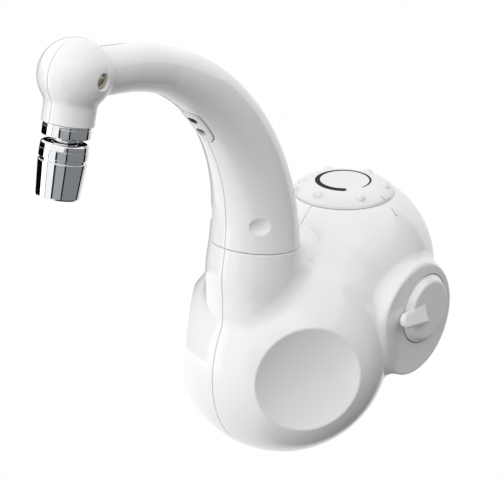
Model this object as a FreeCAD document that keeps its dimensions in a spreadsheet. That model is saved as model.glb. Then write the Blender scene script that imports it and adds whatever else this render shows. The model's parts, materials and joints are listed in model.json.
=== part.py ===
"""Electric tap with a swivel spout, a temperature knob, a side selector and a ball-jointed outlet.

The tap hangs on its wall inlet. +Z is up, the spout reaches along -Y and the side drum stands on +X.
The origin is the centre of the inlet where it passes the wall face. Lengths are millimetres.
"""
import FreeCAD, Part
import math
import os
import re
import PartDesign
import Sketcher
from FreeCAD import Placement, Rotation, Vector

SIZES = (
    ("neck_reach", 121.0, "wall to the centre of the swivel line"),
    ("neck_rise", 46.5, "inlet to the centre of the swivel line"),
    ("neck_radius", 25.5, "outside of the neck at the swivel line"),
    ("neck_lean", 7.5, "lean of the swivel axis towards the wall, degrees"),
    ("neck_flare", 0.075, "growth of the neck's radius per millimetre downwards"),
    ("neck_sink", 62.0, "length of the neck below the swivel line"),
    ("neck_straight", 5.0, "upper part of the neck that keeps the swivel's lean"),
    ("neck_middle", 28.0, "middle ring of the neck below the swivel line"),
    ("neck_even", 3.75, "lean of that middle ring, degrees"),
    ("bulb_brow", 11.0, "front of the bulb ahead of the front of the neck"),
    ("bulb_drop", 27.7, "centre of the front bulb below the inlet"),
    ("bulb_radius", 62.0, "outside of the front bulb"),
    ("lobe_reach", 40.0, "wall to the centre of the rear lobe"),
    ("lobe_rise", 6.2, "centre of the rear lobe above the inlet"),
    ("lobe_radius", 54.5, "outside of the rear lobe"),
    ("waist_round", 28.0, "hollow round between bulb and lobe"),
    ("shoulder_round", 16.0, "hollow round at the foot of the neck"),
    ("shell_wall", 2.8, "wall of the body mouldings"),
    ("dish_radius", 30.5, "rim of each concave grip dish"),
    ("dish_depth", 6.0, "depth of each grip dish"),
    ("dish_turn", 54.5, "grip dishes off the front, degrees"),
    ("dish_lift", 4.2, "grip dishes above level, degrees"),
    ("over_cut", 1.0, "length by which a cutting tool passes through"),
    ("split_gap", 0.5, "open line between neck and spout"),
    ("seat_gap", 0.3, "gap of a piece that only rests beside another"),
    ("run_gap", 0.06, "radial clearance of a turning fit"),
    ("plate_radius", 36.5, "wall plate"),
    ("plate_thick", 4.0, "wall plate thickness"),
    ("plate_screw_ring", 30.0, "circle of the wall plate's screws"),
    ("plate_screw_radius", 1.5, "wall plate screw shank"),
    ("plate_screw_head", 2.8, "wall plate screw head radius"),
    ("plate_screw_length", 11.0, "wall plate screw length"),
    ("plate_post_radius", 3.3, "post that takes a plate screw"),
    ("plate_post_length", 14.0, "length of that post"),
    ("inlet_radius", 10.48, "half inch pipe thread, outside"),
    ("inlet_relief", 9.9, "inlet between its flange and the wall face"),
    ("inlet_bore", 7.0, "bore of the inlet"),
    ("inlet_length", 12.0, "inlet thread beyond the wall face"),
    ("inlet_flange", 14.5, "flange that holds the inlet in the body"),
    ("inlet_flange_thick", 4.0, "thickness of that flange"),
    ("filter_length", 8.0, "inlet filter cup"),
    ("filter_wall", 0.8, "inlet filter wall"),
    ("grommet_rise", 23.0, "cable inlet above the water inlet"),
    ("grommet_radius", 6.0, "cable inlet hole in the plate"),
    ("grommet_lip", 7.6, "lip of the cable inlet"),
    ("cable_bore", 3.6, "bore for the supply cable"),
    ("grommet_thick", 1.6, "lip thickness of the cable inlet"),
    ("meter_radius", 9.5, "flow sensor"),
    ("meter_bore", 6.0, "bore of the flow sensor"),
    ("meter_length", 10.0, "flow sensor length"),
    ("block_width", 26.0, "valve block along X"),
    ("block_depth", 26.0, "valve block along Y"),
    ("block_tall", 31.0, "valve block along Z"),
    ("block_top", 8.0, "top of the valve block above the inlet"),
    ("solenoid_radius", 8.5, "solenoid valve"),
    ("solenoid_drop", 12.0, "solenoid valve below the inlet"),
    ("coil_radius", 7.2, "solenoid coil"),
    ("coil_tall", 19.0, "solenoid coil height"),
    ("tank_front", 4.5, "axis of the heater tank ahead of the bulb's centre"),
    ("tank_radius", 32.5, "heater tank"),
    ("tank_top", -4.0, "top of the heater tank over the inlet"),
    ("lid_clear", 3.48, "clearance between the tank's lid and the inside of the bulb"),
    ("tank_round", 4.0, "rounded upper edge of the tank"),
    ("tank_wall", 1.5, "wall of the heater tank"),
    ("tank_port", 5.0, "cold port of the tank"),
    ("port_bore", 4.0, "bore of the cold water path"),
    ("port_length", 5.5, "length of the tank's cold port"),
    ("lid_radius", 35.0, "lid flange of the tank"),
    ("lid_thick", 3.0, "lid flange thickness"),
    ("rod_radius", 3.2, "heating rod"),
    ("rod_pitch", 11.0, "heating rod leg off the tank's axis"),
    ("rod_tall", 34.0, "straight heating rod leg"),
    ("cutout_radius", 7.5, "thermal cut-out"),
    ("cutout_tall", 6.0, "thermal cut-out height"),
    ("riser_radius", 5.0, "hot riser tube"),
    ("riser_bore", 3.8, "bore of the hot riser tube"),
    ("boss_radius", 8.0, "hot boss on the tank"),
    ("boss_top", 45.0, "swivel line down to the top of the hot boss"),
    ("socket_radius", 14.5, "swivel socket barrel"),
    ("socket_bore", 11.0, "bore of the swivel socket"),
    ("socket_depth", 26.0, "swivel socket below the swivel line"),
    ("socket_floor", 3.0, "floor of the swivel socket"),
    ("socket_flange", 21.8, "flange of the swivel socket"),
    ("flange_drop", 5.0, "swivel socket flange below the line"),
    ("flange_thick", 3.0, "swivel socket flange thickness"),
    ("spigot_length", 18.0, "spout spigot below the swivel line"),
    ("spigot_bore", 4.5, "bore of the spout spigot"),
    ("spigot_flange", 20.5, "flange of the spout spigot"),
    ("spigot_flange_thick", 4.0, "thickness of that flange"),
    ("barb_radius", 6.0, "tail of the spout spigot"),
    ("barb_length", 14.0, "tail of the spout spigot above the line"),
    ("seal_section", 0.9, "half the section of the swivel seals"),
    ("seal_bevel", 0.5, "bevel round the section of the swivel seals"),
    ("seal_pitch", 6.0, "distance between the swivel seals"),
    ("seal_drop", 5.0, "upper swivel seal below the line"),
    ("knob_seat_radius", 30.3, "flat on the lobe below the knob"),
    ("knob_radius", 30.0, "outer edge of the temperature knob"),
    ("knob_skirt", 29.2, "upper end of the knob's edge"),
    ("knob_mid", 26.2, "middle of the knob's dome"),
    ("knob_mid_rise", 5.3, "middle of the knob's dome above its base"),
    ("knob_rim", 2.2, "height of the knob's edge"),
    ("knob_dome", 6.6, "top of the knob above its base"),
    ("knob_top", 21.0, "end of the knob's dome"),
    ("knob_top_rise", 6.25, "end of the knob's dome above its base"),
    ("knob_flat", 15.1, "flat top of the knob"),
    ("knob_lift", 0.4, "running gap below the knob"),
    ("knob_hollow", 2.4, "wall of the knob"),
    ("nub_ring", 23.6, "circle of the grip nubs"),
    ("nub_radius", 3.4, "grip nub"),
    ("nub_rise", 4.1, "nub centre above the knob's base"),
    ("nub_count", 6.0, "number of grip nubs"),
    ("nub_turn", -23.7, "first nub from the drum's side, degrees"),
    ("hub_radius", 6.5, "hub below the knob"),
    ("shaft_radius", 3.0, "knob shaft"),
    ("shaft_grip", 4.5, "knob shaft inside the hub"),
    ("board_side", 46.0, "control board"),
    ("board_thick", 1.6, "control board thickness"),
    ("board_drop", 15.0, "control board below the knob's seat"),
    ("post_radius", 3.2, "post that carries the board"),
    ("post_pitch", 18.0, "posts off the knob's axis"),
    ("board_screw", 1.2, "board screw shank"),
    ("board_screw_head", 2.3, "board screw head radius"),
    ("board_screw_length", 7.0, "board screw length"),
    ("encoder_radius", 8.0, "knob encoder"),
    ("encoder_tall", 7.0, "knob encoder height"),
    ("bush_radius", 4.6, "threaded bush of the encoder"),
    ("relay_long", 22.0, "power relay"),
    ("relay_wide", 12.0, "power relay width"),
    ("relay_tall", 13.0, "power relay height"),
    ("terminal_long", 20.0, "terminal block"),
    ("terminal_wide", 9.0, "terminal block width"),
    ("terminal_tall", 9.0, "terminal block height"),
    ("drum_reach", 41.5, "wall to the axis of the side drum"),
    ("drum_drop", 14.0, "side drum's axis below the inlet"),
    ("drum_radius", 34.0, "side drum"),
    ("drum_face", 57.0, "face of the side drum off the middle plane"),
    ("drum_root", 12.0, "inner end of the drum off the middle plane"),
    ("drum_round", 2.4, "rounded edge of the drum face"),
    ("lever_reach", 35.4, "wall to the lever's axis"),
    ("lever_drop", 8.8, "lever's axis below the inlet"),
    ("lever_disc", 20.5, "selector disc at its foot"),
    ("lever_slope", 3.2, "bevel round the selector disc"),
    ("lever_tall", 3.6, "height of the selector disc"),
    ("lever_gap", 0.4, "running gap behind the selector disc"),
    ("wing_tip", 32.0, "lever wing, tip off its axis"),
    ("wing_tail", -2.5, "lever wing, tail off its axis"),
    ("wing_wide", 9.4, "lever wing at its tip"),
    ("wing_heel", 12.0, "lever wing at its tail"),
    ("wing_tall", 4.6, "lever wing above the disc"),
    ("wing_lift", 3.0, "lever wing above its axis"),
    ("wing_root", 1.0, "lever wing inside the disc"),
    ("wing_bow", 1.8, "hollow of the wing's tail"),
    ("wing_round", 1.8, "rounded upper edge of the wing"),
    ("stem_radius", 4.9, "selector stem in the valve block"),
    ("stem_neck", 3.5, "selector stem between block and lever"),
    ("stem_inset", 14.0, "selector stem inside the valve block"),
    ("stem_hole", 6.5, "hole for the stem in body and drum"),
    ("stem_root", 2.5, "selector stem inside the lever"),
    ("bend_start", 8.0, "upright start of the spout"),
    ("bend_radius", 118.0, "bend of the spout's centreline"),
    ("bend_turn", 82.0, "turn of the spout's bend, degrees"),
    ("spout_lead", 14.0, "spout section below the swivel line, cut away"),
    ("tip_run", 31.5, "end of the bend to the centre of the head"),
    ("tip_radius", 12.1, "slim end of the spout"),
    ("taper_length", 146.0, "length over which the spout narrows"),
    ("spout_wall", 2.4, "wall of the spout mouldings"),
    ("head_radius", 18.1, "ball of the spout head"),
    ("head_round", 5.0, "hollow round between head and tube"),
    ("outlet_tilt", 14.3, "outlet leans to the front, degrees"),
    ("stub_radius", 12.9, "outlet stub below the head"),
    ("stub_round", 6.0, "hollow round between head and stub"),
    ("stub_drop", 23.2, "end of the outlet stub from the head's centre"),
    ("adapter_radius", 9.0, "brass outlet adapter"),
    ("adapter_top", 9.0, "adapter above the head's centre"),
    ("adapter_flange", 10.8, "adapter flange in the stub"),
    ("adapter_bore", 5.0, "bore of the outlet adapter"),
    ("collar_radius", 12.0, "chrome collar"),
    ("collar_length", 6.6, "chrome collar length"),
    ("collar_lip", 1.4, "lip of the collar that holds the stem"),
    ("adapter_land", 7.0, "adapter flange inside the stub"),
    ("adapter_nose", 2.6, "adapter beyond the stub"),
    ("stem_flange", 8.4, "flange of the ball stem in the collar"),
    ("stem_flange_thick", 1.8, "thickness of that flange"),
    ("spin_gap", 0.2, "running gap above and below that flange"),
    ("stem_waist", 5.6, "waist of the ball stem"),
    ("ball_radius", 9.0, "ball of the outlet joint"),
    ("ball_drop", 42.0, "ball centre from the head's centre"),
    ("ball_gap", 0.3, "gap round the ball"),
    ("ball_bore", 3.4, "bore of the ball stem"),
    ("ball_flat", 2.2, "flat cut off the bottom of the ball"),
    ("cup_start", 9.5, "top of the outlet cup above the ball's centre"),
    ("cup_mouth", 9.1, "mouth of the outlet cup"),
    ("cup_lip", 10.0, "upper edge of the outlet cup"),
    ("cup_radius", 12.0, "outlet cup at its widest"),
    ("cup_shoulder", 2.2, "bevel below the cup's lip"),
    ("cup_throat", 7.9, "throat that holds the ball"),
    ("socket_inset", 1.9, "depth at which the socket is hollowed inside the throat"),
    ("throat_lift", 4.0, "throat above the ball's centre"),
    ("cup_join", 0.8, "ball centre up to the joint of the cup's halves"),
    ("groove_depth", 0.7, "depth of the groove at that joint"),
    ("groove_width", 1.0, "width of that groove"),
    ("cup_tail", 17.8, "lower end of the cup from the ball's centre"),
    ("cup_end", 10.8, "cup radius at its lower end"),
    ("cup_break", 0.6, "bevel at the cup's lower end"),
    ("cup_wall", 1.4, "wall of the cup's lower end"),
    ("seat_top", 5.4, "top of the plastic seat below the ball's centre"),
    ("seat_foot", 10.4, "foot of the plastic seat below the ball's centre"),
    ("insert_gap", 0.15, "aerator insert in the cup"),
    ("insert_tall", 5.2, "aerator insert"),
    ("mesh_thick", 0.8, "outlet mesh"),
    ("mesh_inset", 1.2, "outlet mesh above the cup's end"),
    ("screw_reach", 1.9, "head screw behind the head's centre"),
    ("screw_drop", 0.4, "head screw below the head's centre"),
    ("screw_recess", 3.9, "recess of the head screw"),
    ("screw_ledge", 1.8, "wall round and below that recess"),
    ("screw_head", 2.9, "head screw, head radius"),
    ("screw_head_tall", 2.4, "head screw, head height"),
    ("screw_shank", 1.7, "head screw shank"),
    ("screw_face", 16.0, "outer face of the head screw off the middle plane"),
    ("screw_end", 6.2, "inner end of the head screw off the middle plane"),
    ("window_turn", 45.2, "sensor window along the bend, degrees"),
    ("window_long", 27.0, "sensor window length"),
    ("window_wide", 12.0, "sensor window width"),
    ("window_thick", 2.4, "sensor window thickness"),
    ("window_gap", 0.25, "line round the sensor window"),
    ("dimple_turn", 47.5, "moulded dimple on the spout off the front, degrees"),
    ("dimple_rise", 18.0, "dimple above the swivel line"),
    ("dimple_wide", 6.6, "dimple, half its width"),
    ("dimple_tall", 4.9, "dimple, half its height"),
    ("dimple_depth", 2.0, "depth of the dimple"),
    ("lens_radius", 2.9, "sensor lens"),
    ("lens_pitch", 10.3, "distance between the lenses"),
    ("lens_proud", 0.35, "lens proud of the window"),
    ("lens_tail", 2.0, "lens behind the window"),
    ("sensor_board_thick", 1.2, "sensor board"),
    ("sensor_board_margin", 1.5, "window edge to the edge of the sensor board"),
    ("tube_radius", 4.8, "water tube in the spout"),
    ("tube_bore", 3.6, "bore of the water tube"),
    ("tube_start", 9.0, "straight start of the water tube"),
    ("tube_first", 22.0, "first corner of the tube along the bend, degrees"),
    ("tube_second", 52.0, "second corner of the tube along the bend, degrees"),
    ("tube_gap", 0.9, "tube end to the adapter"),
)

doc = FreeCAD.newDocument("electric_tap")
sheet = doc.addObject("Spreadsheet::Sheet", "Sizes")
for row, (alias, value, note) in enumerate(SIZES, start=1):
    sheet.set(f"A{row}", note)
    sheet.set(f"B{row}", str(value))
    sheet.setAlias(f"B{row}", alias)
doc.recompute()

FAR = 500.0
NEAR = 0.001
BEND_STEPS = 9
PLATE_SCREW_TURNS = (40, 140, 220, 320)


def bound(formula):
    """The formula with every size name pointed at the sheet."""
    return re.sub(r"[a-z]+(?:_[a-z]+)+", lambda m: "Sizes." + m.group(0), formula)


def size(formula):
    """The present value of a formula of sizes."""
    return float(sheet.evalExpression(bound(formula)))


def place(item, base, axis=Vector(1, 0, 0), angle="0"):
    """Put an item at three size formulas, turned about an axis by a fourth."""
    item.Placement = Placement(Vector(), Rotation(axis, size(angle)))
    for letter, formula in zip("xyz", base):
        item.setExpression("Placement.Base." + letter, bound(formula))
    if angle.strip("-0123456789.") != "":
        item.setExpression("Placement.Rotation.Angle", bound(angle))
    return item


def origin_plane(body, role):
    """One of the body's own origin planes."""
    return next(item for item in body.Origin.OriginFeatures if item.Role == role)


def new_sketch(body, name, role):
    """A sketch on one of the body's own origin planes."""
    sketch = body.newObject("Sketcher::SketchObject", name)
    sketch.AttachmentSupport = (origin_plane(body, role), [""])
    sketch.MapMode = "FlatFace"
    return sketch


def pin_down(sketch, edge, end, formulas):
    """Tie one end of a sketch edge to size formulas, measured from the sketch's origin."""
    for kind, axis, formula in (("DistanceX", -2, formulas[0]), ("DistanceY", -1, formulas[1])):
        if formula == "0":
            sketch.addConstraint(Sketcher.Constraint("PointOnObject", edge, end, axis))
            continue
        index = sketch.addConstraint(Sketcher.Constraint(kind, -1, 1, edge, end, size(formula)))
        sketch.setExpression(f"Constraints[{index}]", bound(formula))


def draw_outline(sketch, outline):
    """A closed run of straight edges through pairs of size formulas."""
    points = [Vector(size(a), size(b), 0) for a, b in outline]
    count = len(points)
    for index in range(count):
        sketch.addGeometry(Part.LineSegment(points[index], points[(index + 1) % count]), False)
    for index in range(count):
        following = (index + 1) % count
        sketch.addConstraint(Sketcher.Constraint("Coincident", index, 2, following, 1))
        pin_down(sketch, index, 1, outline[index])


def turned(label, outline, base, axis=Vector(1, 0, 0), angle="0"):
    """A piece turned about its own Z from an outline of (radius, height) formulas."""
    body = doc.addObject("PartDesign::Body", label)
    sketch = new_sketch(body, label + "_profile", "XZ_Plane")
    draw_outline(sketch, outline)
    turn = body.newObject("PartDesign::Revolution", label + "_turn")
    turn.Profile = sketch
    turn.ReferenceAxis = (sketch, ["V_Axis"])
    turn.Angle = 360
    sketch.Visibility = False
    return place(body, base, axis, angle)


def cylinder(name, radius, height, base, axis=Vector(1, 0, 0), angle="0"):
    """A cylinder along its own Z with its sizes bound to formulas."""
    item = doc.addObject("Part::Cylinder", name)
    item.setExpression("Radius", bound(radius))
    item.setExpression("Height", bound(height))
    return place(item, base, axis, angle)


def box(name, lengths, base):
    """A box whose corner and lengths are formulas."""
    item = doc.addObject("Part::Box", name)
    for side, formula in zip(("Length", "Width", "Height"), lengths):
        item.setExpression(side, bound(formula))
    return place(item, base)


def cut(label, base, tool):
    """The base less the tool."""
    item = doc.addObject("Part::Cut", label)
    item.Base = base
    item.Tool = tool
    return item


def joined(label, *items):
    """Several solids made one, or kept as a group where they don't touch."""
    item = doc.addObject("Part::MultiFuse", label)
    item.Shapes = list(items)
    return item


def moulded(label, shape):
    """A freely shaped moulding."""
    item = doc.addObject("Part::Feature", label)
    item.Shape = shape
    item.Placement = shape.Placement
    return item


# Places that several pieces share, as formulas.
KNOB_SEAT = "(lobe_rise + sqrt(lobe_radius^2 - knob_seat_radius^2))"
BULB_REACH = "(neck_reach + neck_radius + bulb_brow - bulb_radius)"
TANK_REACH = f"({BULB_REACH} + tank_front)"
LID_FOOT = "(bulb_drop + sqrt((bulb_radius - shell_wall - lid_clear)^2 - (lid_radius + tank_front)^2))"
TANK_TALL = f"({LID_FOOT} - lid_thick + tank_top)"
HEAD_REACH = "(neck_reach + bend_radius * (1 - cos(bend_turn)) + tip_run * sin(bend_turn))"
HEAD_RISE = "(neck_rise + bend_start + bend_radius * sin(bend_turn) + tip_run * cos(bend_turn))"
BLOCK_BACK = "(plate_thick + shell_wall + inlet_flange_thick + meter_length)"
BLOCK_FRONT = f"({BLOCK_BACK} + block_depth)"
PORT_FACE = f"({TANK_REACH} - tank_radius - port_length)"
SWIVEL = ("0", "-neck_reach", "neck_rise")
OUTLET = ("0", f"-{HEAD_REACH}", HEAD_RISE)
TO_FRONT = "180 - outlet_tilt"
LEAN = "-neck_lean"
BORE = "cup_end - cup_wall - insert_gap"
ALONG_X = (Vector(0, 1, 0), "90")
TO_WALL = (Vector(1, 0, 0), "-90")
FROM_WALL = (Vector(1, 0, 0), "90")


def on_swivel(height, across=0.0):
    """A point of the swivel axis at a height above the swivel line."""
    lean = math.radians(size("neck_lean"))
    up = Vector(0, math.sin(lean), math.cos(lean))
    return Vector(across, -size("neck_reach"), size("neck_rise")) + up * height


def swivel_direction():
    """The direction of the swivel axis, upwards."""
    return on_swivel(1) - on_swivel(0)


def half_space(side):
    """All that lies on one side of the middle plane."""
    corner = Vector(0 if side > 0 else -FAR, -FAR, -FAR)
    return Part.makeBox(FAR, 2 * FAR, 2 * FAR, corner)


def above_swivel(height):
    """All that lies above a level of the swivel line, square to its axis."""
    block = Part.makeBox(2 * FAR, 2 * FAR, FAR, Vector(-FAR, -FAR, height))
    block.Placement = Placement(on_swivel(0), Rotation(Vector(1, 0, 0), -size("neck_lean")))
    return block


def meeting_edges(whole, first, second):
    """The edges of a fused solid along which its two makers meet."""
    found = []
    for edge in whole.Edges:
        if edge.Degenerated:
            continue
        spots = [edge.valueAt(edge.FirstParameter + share * (edge.LastParameter - edge.FirstParameter))
                 for share in (0.25, 0.5, 0.75)]
        gaps = [maker.Shells[0].distToShape(Part.Vertex(spot))[0]
                for spot in spots for maker in (first, second)]
        if max(gaps) < NEAR:
            found.append(edge)
    return found


def bulb_and_lobe(inset):
    """Front bulb and rear lobe as one turned form with a hollow round between them."""
    bulb = size("bulb_radius") - inset
    lobe = size("lobe_radius") - inset
    hollow = size("waist_round") + inset
    start = Vector(0, -size(BULB_REACH), -size("bulb_drop"))
    finish = Vector(0, -size("lobe_reach"), size("lobe_rise"))
    along = (finish - start).normalize()
    across = Vector(0, -along.z, along.y)
    span = (finish - start).Length
    side = (span ** 2 + (bulb + hollow) ** 2 - (lobe + hollow) ** 2) / (2 * span)
    height = math.sqrt((bulb + hollow) ** 2 - side ** 2)

    def spot(length, out):
        return start + along * length + across * out

    def round_from(centre, radius, degrees):
        turn = math.radians(degrees)
        return spot(centre + radius * math.cos(turn), radius * math.sin(turn))

    bulb_angle = math.degrees(math.atan2(height, side))
    lobe_angle = math.degrees(math.atan2(height, side - span))
    leave = round_from(0, bulb, bulb_angle)
    arrive = round_from(span, lobe, lobe_angle)
    edges = [
        Part.Arc(spot(-bulb, 0), round_from(0, bulb, (180 + bulb_angle) / 2), leave).toShape(),
        Part.Arc(leave, spot(side, height - hollow), arrive).toShape(),
        Part.Arc(arrive, round_from(span, lobe, lobe_angle / 2), spot(span + lobe, 0)).toShape(),
        Part.makeLine(spot(span + lobe, 0), spot(-bulb, 0)),
    ]
    return Part.Face(Part.Wire(edges)).revolve(start, along, 360)


def neck_form(inset, top):
    """The neck up to a height over the swivel line, a gently flared tube that enters the bulb."""
    lean = size("neck_lean")
    rings = []
    for height, tilt in ((top, lean), (-size("neck_straight"), lean),
                         (-size("neck_middle"), size("neck_even")), (-size("neck_sink"), 0.0)):
        upright = Vector(0, -size("neck_reach"), size("neck_rise") + height)
        centre = on_swivel(height) if tilt == lean else upright
        turn = math.radians(tilt)
        radius = size("neck_radius") - inset - height * size("neck_flare")
        rings.append(Part.Wire(Part.makeCircle(radius, centre, Vector(0, math.sin(turn), math.cos(turn)))))
    return Part.makeLoft(rings, True, False)


def body_form(inset, top):
    """The whole closed form of the body, drawn in by an inset, its neck cut at a height."""
    core = bulb_and_lobe(inset)
    neck = neck_form(inset, top)
    whole = core.fuse(neck)
    whole = whole.makeFillet(size("shoulder_round") + inset, meeting_edges(whole, core, neck))
    for side in (-1, 1):
        whole = whole.cut(dish_form(side, inset))
    return whole


def dish_form(side, inset):
    """The ball whose cap hollows out one grip dish."""
    rim = size("dish_radius")
    depth = size("dish_depth")
    ball = (rim ** 2 + depth ** 2) / (2 * depth)
    turn = math.radians(size("dish_turn"))
    lift = math.radians(size("dish_lift"))
    out = Vector(side * math.sin(turn) * math.cos(lift), -math.cos(turn) * math.cos(lift), math.sin(lift))
    rim_plane = math.sqrt(size("bulb_radius") ** 2 - rim ** 2)
    centre = Vector(0, -size(BULB_REACH), -size("bulb_drop"))
    return Part.makeSphere(ball + inset, centre + out * (rim_plane - depth + ball))


def slab_above(level):
    """All that lies above a height."""
    return Part.makeBox(2 * FAR, 2 * FAR, FAR, Vector(-FAR, -FAR, level))


def slab_behind(reach_from_wall):
    """All that lies nearer the wall than a distance from it."""
    return Part.makeBox(2 * FAR, FAR, 2 * FAR, Vector(-FAR, -reach_from_wall, -FAR))


def rod(radius, start, finish):
    """A round bar between two points."""
    return Part.makeCylinder(radius, (finish - start).Length, start, finish - start)


def lever_point(across):
    """A point of the lever's axis."""
    return Vector(across, -size("lever_reach"), -size("lever_drop"))


def drum_point(across):
    """A point of the side drum's axis."""
    return Vector(across, -size("drum_reach"), -size("drum_drop"))


def post_points(level):
    """Where the posts of the control board stand."""
    pitch = size("post_pitch")
    return [Vector(x, y - size("lobe_reach"), level) for x in (-pitch, pitch) for y in (-pitch, pitch)]


def plate_screw_points():
    """Where the wall plate's screws stand, in X and Z."""
    ring = size("plate_screw_ring")
    centre = size("lobe_rise")
    turns = (math.radians(degrees) for degrees in PLATE_SCREW_TURNS)
    return [(ring * math.cos(turn), centre + ring * math.sin(turn)) for turn in turns]


def body_shells():
    """Both halves of the body, split on the middle plane."""
    wall = size("shell_wall")
    seat = size(KNOB_SEAT)
    back = size("plate_thick")
    over = size("over_cut")
    knob_axis = Vector(0, -size("lobe_reach"), 0)
    outer = body_form(0, -size("split_gap") / 2)
    hollow = body_form(wall, over)
    knob_side = slab_behind(size("lobe_reach + knob_seat_radius") + over)
    outer = outer.cut(slab_above(seat).common(knob_side)).cut(slab_behind(back))
    hollow = hollow.cut(slab_above(seat - wall).common(knob_side)).cut(slab_behind(back + wall))
    board_posts = post_points(seat - size("board_drop"))
    ribs = [rod(size("post_radius"), spot, spot + Vector(0, 0, size("board_drop"))) for spot in board_posts]
    for x, z in plate_screw_points():
        foot = Vector(x, -back, z)
        ribs.append(rod(size("plate_post_radius"), foot, foot - Vector(0, size("plate_post_length"), 0)))
    walls = outer.cut(hollow).fuse([rib.common(outer) for rib in ribs])
    plate_side = Vector(0, -back - wall - over, 0)
    cable = Vector(0, 0, size("grommet_rise"))
    holes = [rod(size("bush_radius + seat_gap"), knob_axis + Vector(0, 0, seat - wall - over),
                 knob_axis + Vector(0, 0, seat + over)),
             rod(size("stem_hole"), lever_point(size("drum_root")), lever_point(size("drum_face"))),
             rod(size("inlet_radius + seat_gap"), Vector(), plate_side),
             rod(size("grommet_radius"), cable, cable + plate_side)]
    for x, z in plate_screw_points():
        holes.append(rod(size("plate_screw_radius + run_gap"), Vector(x, 0, z),
                         Vector(x, -size("plate_screw_length + seat_gap"), z)))
    for spot in board_posts:
        depth = size("board_screw_length - board_thick + seat_gap")
        holes.append(rod(size("board_screw + run_gap"), spot, spot + Vector(0, 0, depth)))
    walls = walls.cut(holes)
    return walls.common(half_space(1)), walls.common(half_space(-1)), outer


def spout_stations():
    """Centre, heading and radius of the spout's cross-sections from the swivel line to the head."""
    turn = size("bend_turn")
    bend = size("bend_radius")
    start = Vector(0, -size("neck_reach"), size("neck_rise"))
    top = size("neck_radius")
    tip = size("tip_radius")
    lead = size("spout_lead")
    stations = [(-lead, 0.0, start - Vector(0, 0, lead))]
    for index in range(BEND_STEPS + 1):
        degrees = turn * index / BEND_STEPS
        angle = math.radians(degrees)
        rise = size("bend_start") + bend * math.sin(angle)
        centre = start + Vector(0, -bend * (1 - math.cos(angle)), rise)
        stations.append((size("bend_start") + bend * angle, degrees, centre))
    heading = Vector(0, -math.sin(math.radians(turn)), math.cos(math.radians(turn)))
    last = stations[-1]
    for run in (0.5 * size("tip_run"), size("tip_run")):
        stations.append((last[0] + run, turn, last[2] + heading * run))
    rows = []
    for length, degrees, centre in stations:
        share = min(max(length, 0) / size("taper_length"), 1)
        radius = top + (tip - top) * share
        angle = math.radians(degrees)
        rows.append((centre, Vector(0, -math.sin(angle), math.cos(angle)), radius))
    return rows


def outlet_direction():
    """The way the water leaves the head."""
    tilt = math.radians(size("outlet_tilt"))
    return Vector(0, -math.sin(tilt), -math.cos(tilt))


def head_centre():
    """Centre of the spout's head ball."""
    return Vector(0, -size(HEAD_REACH), size(HEAD_RISE))


def outlet_placement(drop):
    """The outlet's own frame at a distance from the head's centre."""
    return Placement(head_centre() + outlet_direction() * drop,
                     Rotation(Vector(1, 0, 0), 180 - size("outlet_tilt")))


def head_form(inset):
    """Head ball and outlet stub as one turned form with a hollow round between them."""
    ball = size("head_radius") - inset
    stub = size("stub_radius") - inset
    hollow = size("stub_round") + inset
    drop = math.sqrt((ball + hollow) ** 2 - (stub + hollow) ** 2)
    turn = math.atan2(drop, stub + hollow)
    leave = Vector(ball * math.cos(turn), 0, ball * math.sin(turn))
    middle = Vector(stub + hollow - hollow * math.cos(turn / 2), 0, drop - hollow * math.sin(turn / 2))
    half = (turn - math.pi / 2) / 2
    cheek = Vector(ball * math.cos(half), 0, ball * math.sin(half))
    end = size("stub_drop")
    edges = [
        Part.Arc(Vector(0, 0, -ball), cheek, leave).toShape(),
        Part.Arc(leave, middle, Vector(stub, 0, drop)).toShape(),
        Part.makeLine(Vector(stub, 0, drop), Vector(stub, 0, end)),
        Part.makeLine(Vector(stub, 0, end), Vector(0, 0, end)),
        Part.makeLine(Vector(0, 0, end), Vector(0, 0, -ball)),
    ]
    form = Part.Face(Part.Wire(edges)).revolve(Vector(), Vector(0, 0, 1), 360)
    form.Placement = outlet_placement(0)
    return form


def spout_form(inset):
    """The closed outside of the spout, drawn in by an inset."""
    rings = [Part.Wire(Part.makeCircle(radius - inset, centre, heading))
             for centre, heading, radius in spout_stations()]
    tube = Part.makeLoft(rings, True, False)
    head = head_form(inset)
    whole = tube.fuse(head)
    return whole.makeFillet(size("head_round") + inset, meeting_edges(whole, tube, head))


def window_placement():
    """The sensor window's own frame: Z out of the spout, X across it, at the bend's centre line."""
    turn = math.radians(size("window_turn"))
    centre = Vector(0, -size("neck_reach") - size("bend_radius"), size("neck_rise") + size("bend_start"))
    out = Vector(0, -math.cos(turn), -math.sin(turn))
    spot = centre - out * size("bend_radius")
    return Placement(spot, Rotation(Vector(1, 0, 0), Vector(0, -out.z, out.y), out, "ZXY"))


def stadium(grow):
    """A long round-ended prism across the spout's wall at the sensor window."""
    radius = size("window_wide") / 2 + grow
    run = (size("window_long") - size("window_wide")) / 2
    tall = size("2 * neck_radius")
    ends = [Part.makeCylinder(radius, tall, Vector(0, side * run, 0)) for side in (-1, 1)]
    bar = Part.makeBox(2 * radius, 2 * run, tall, Vector(-radius, -run, 0))
    prism = ends[0].fuse([bar, ends[1]]).removeSplitter()
    prism.Placement = window_placement()
    return prism


def screw_axis(across):
    """A point of the head screw's axis."""
    return head_centre() + Vector(across, size("screw_reach"), -size("screw_drop"))


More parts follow.
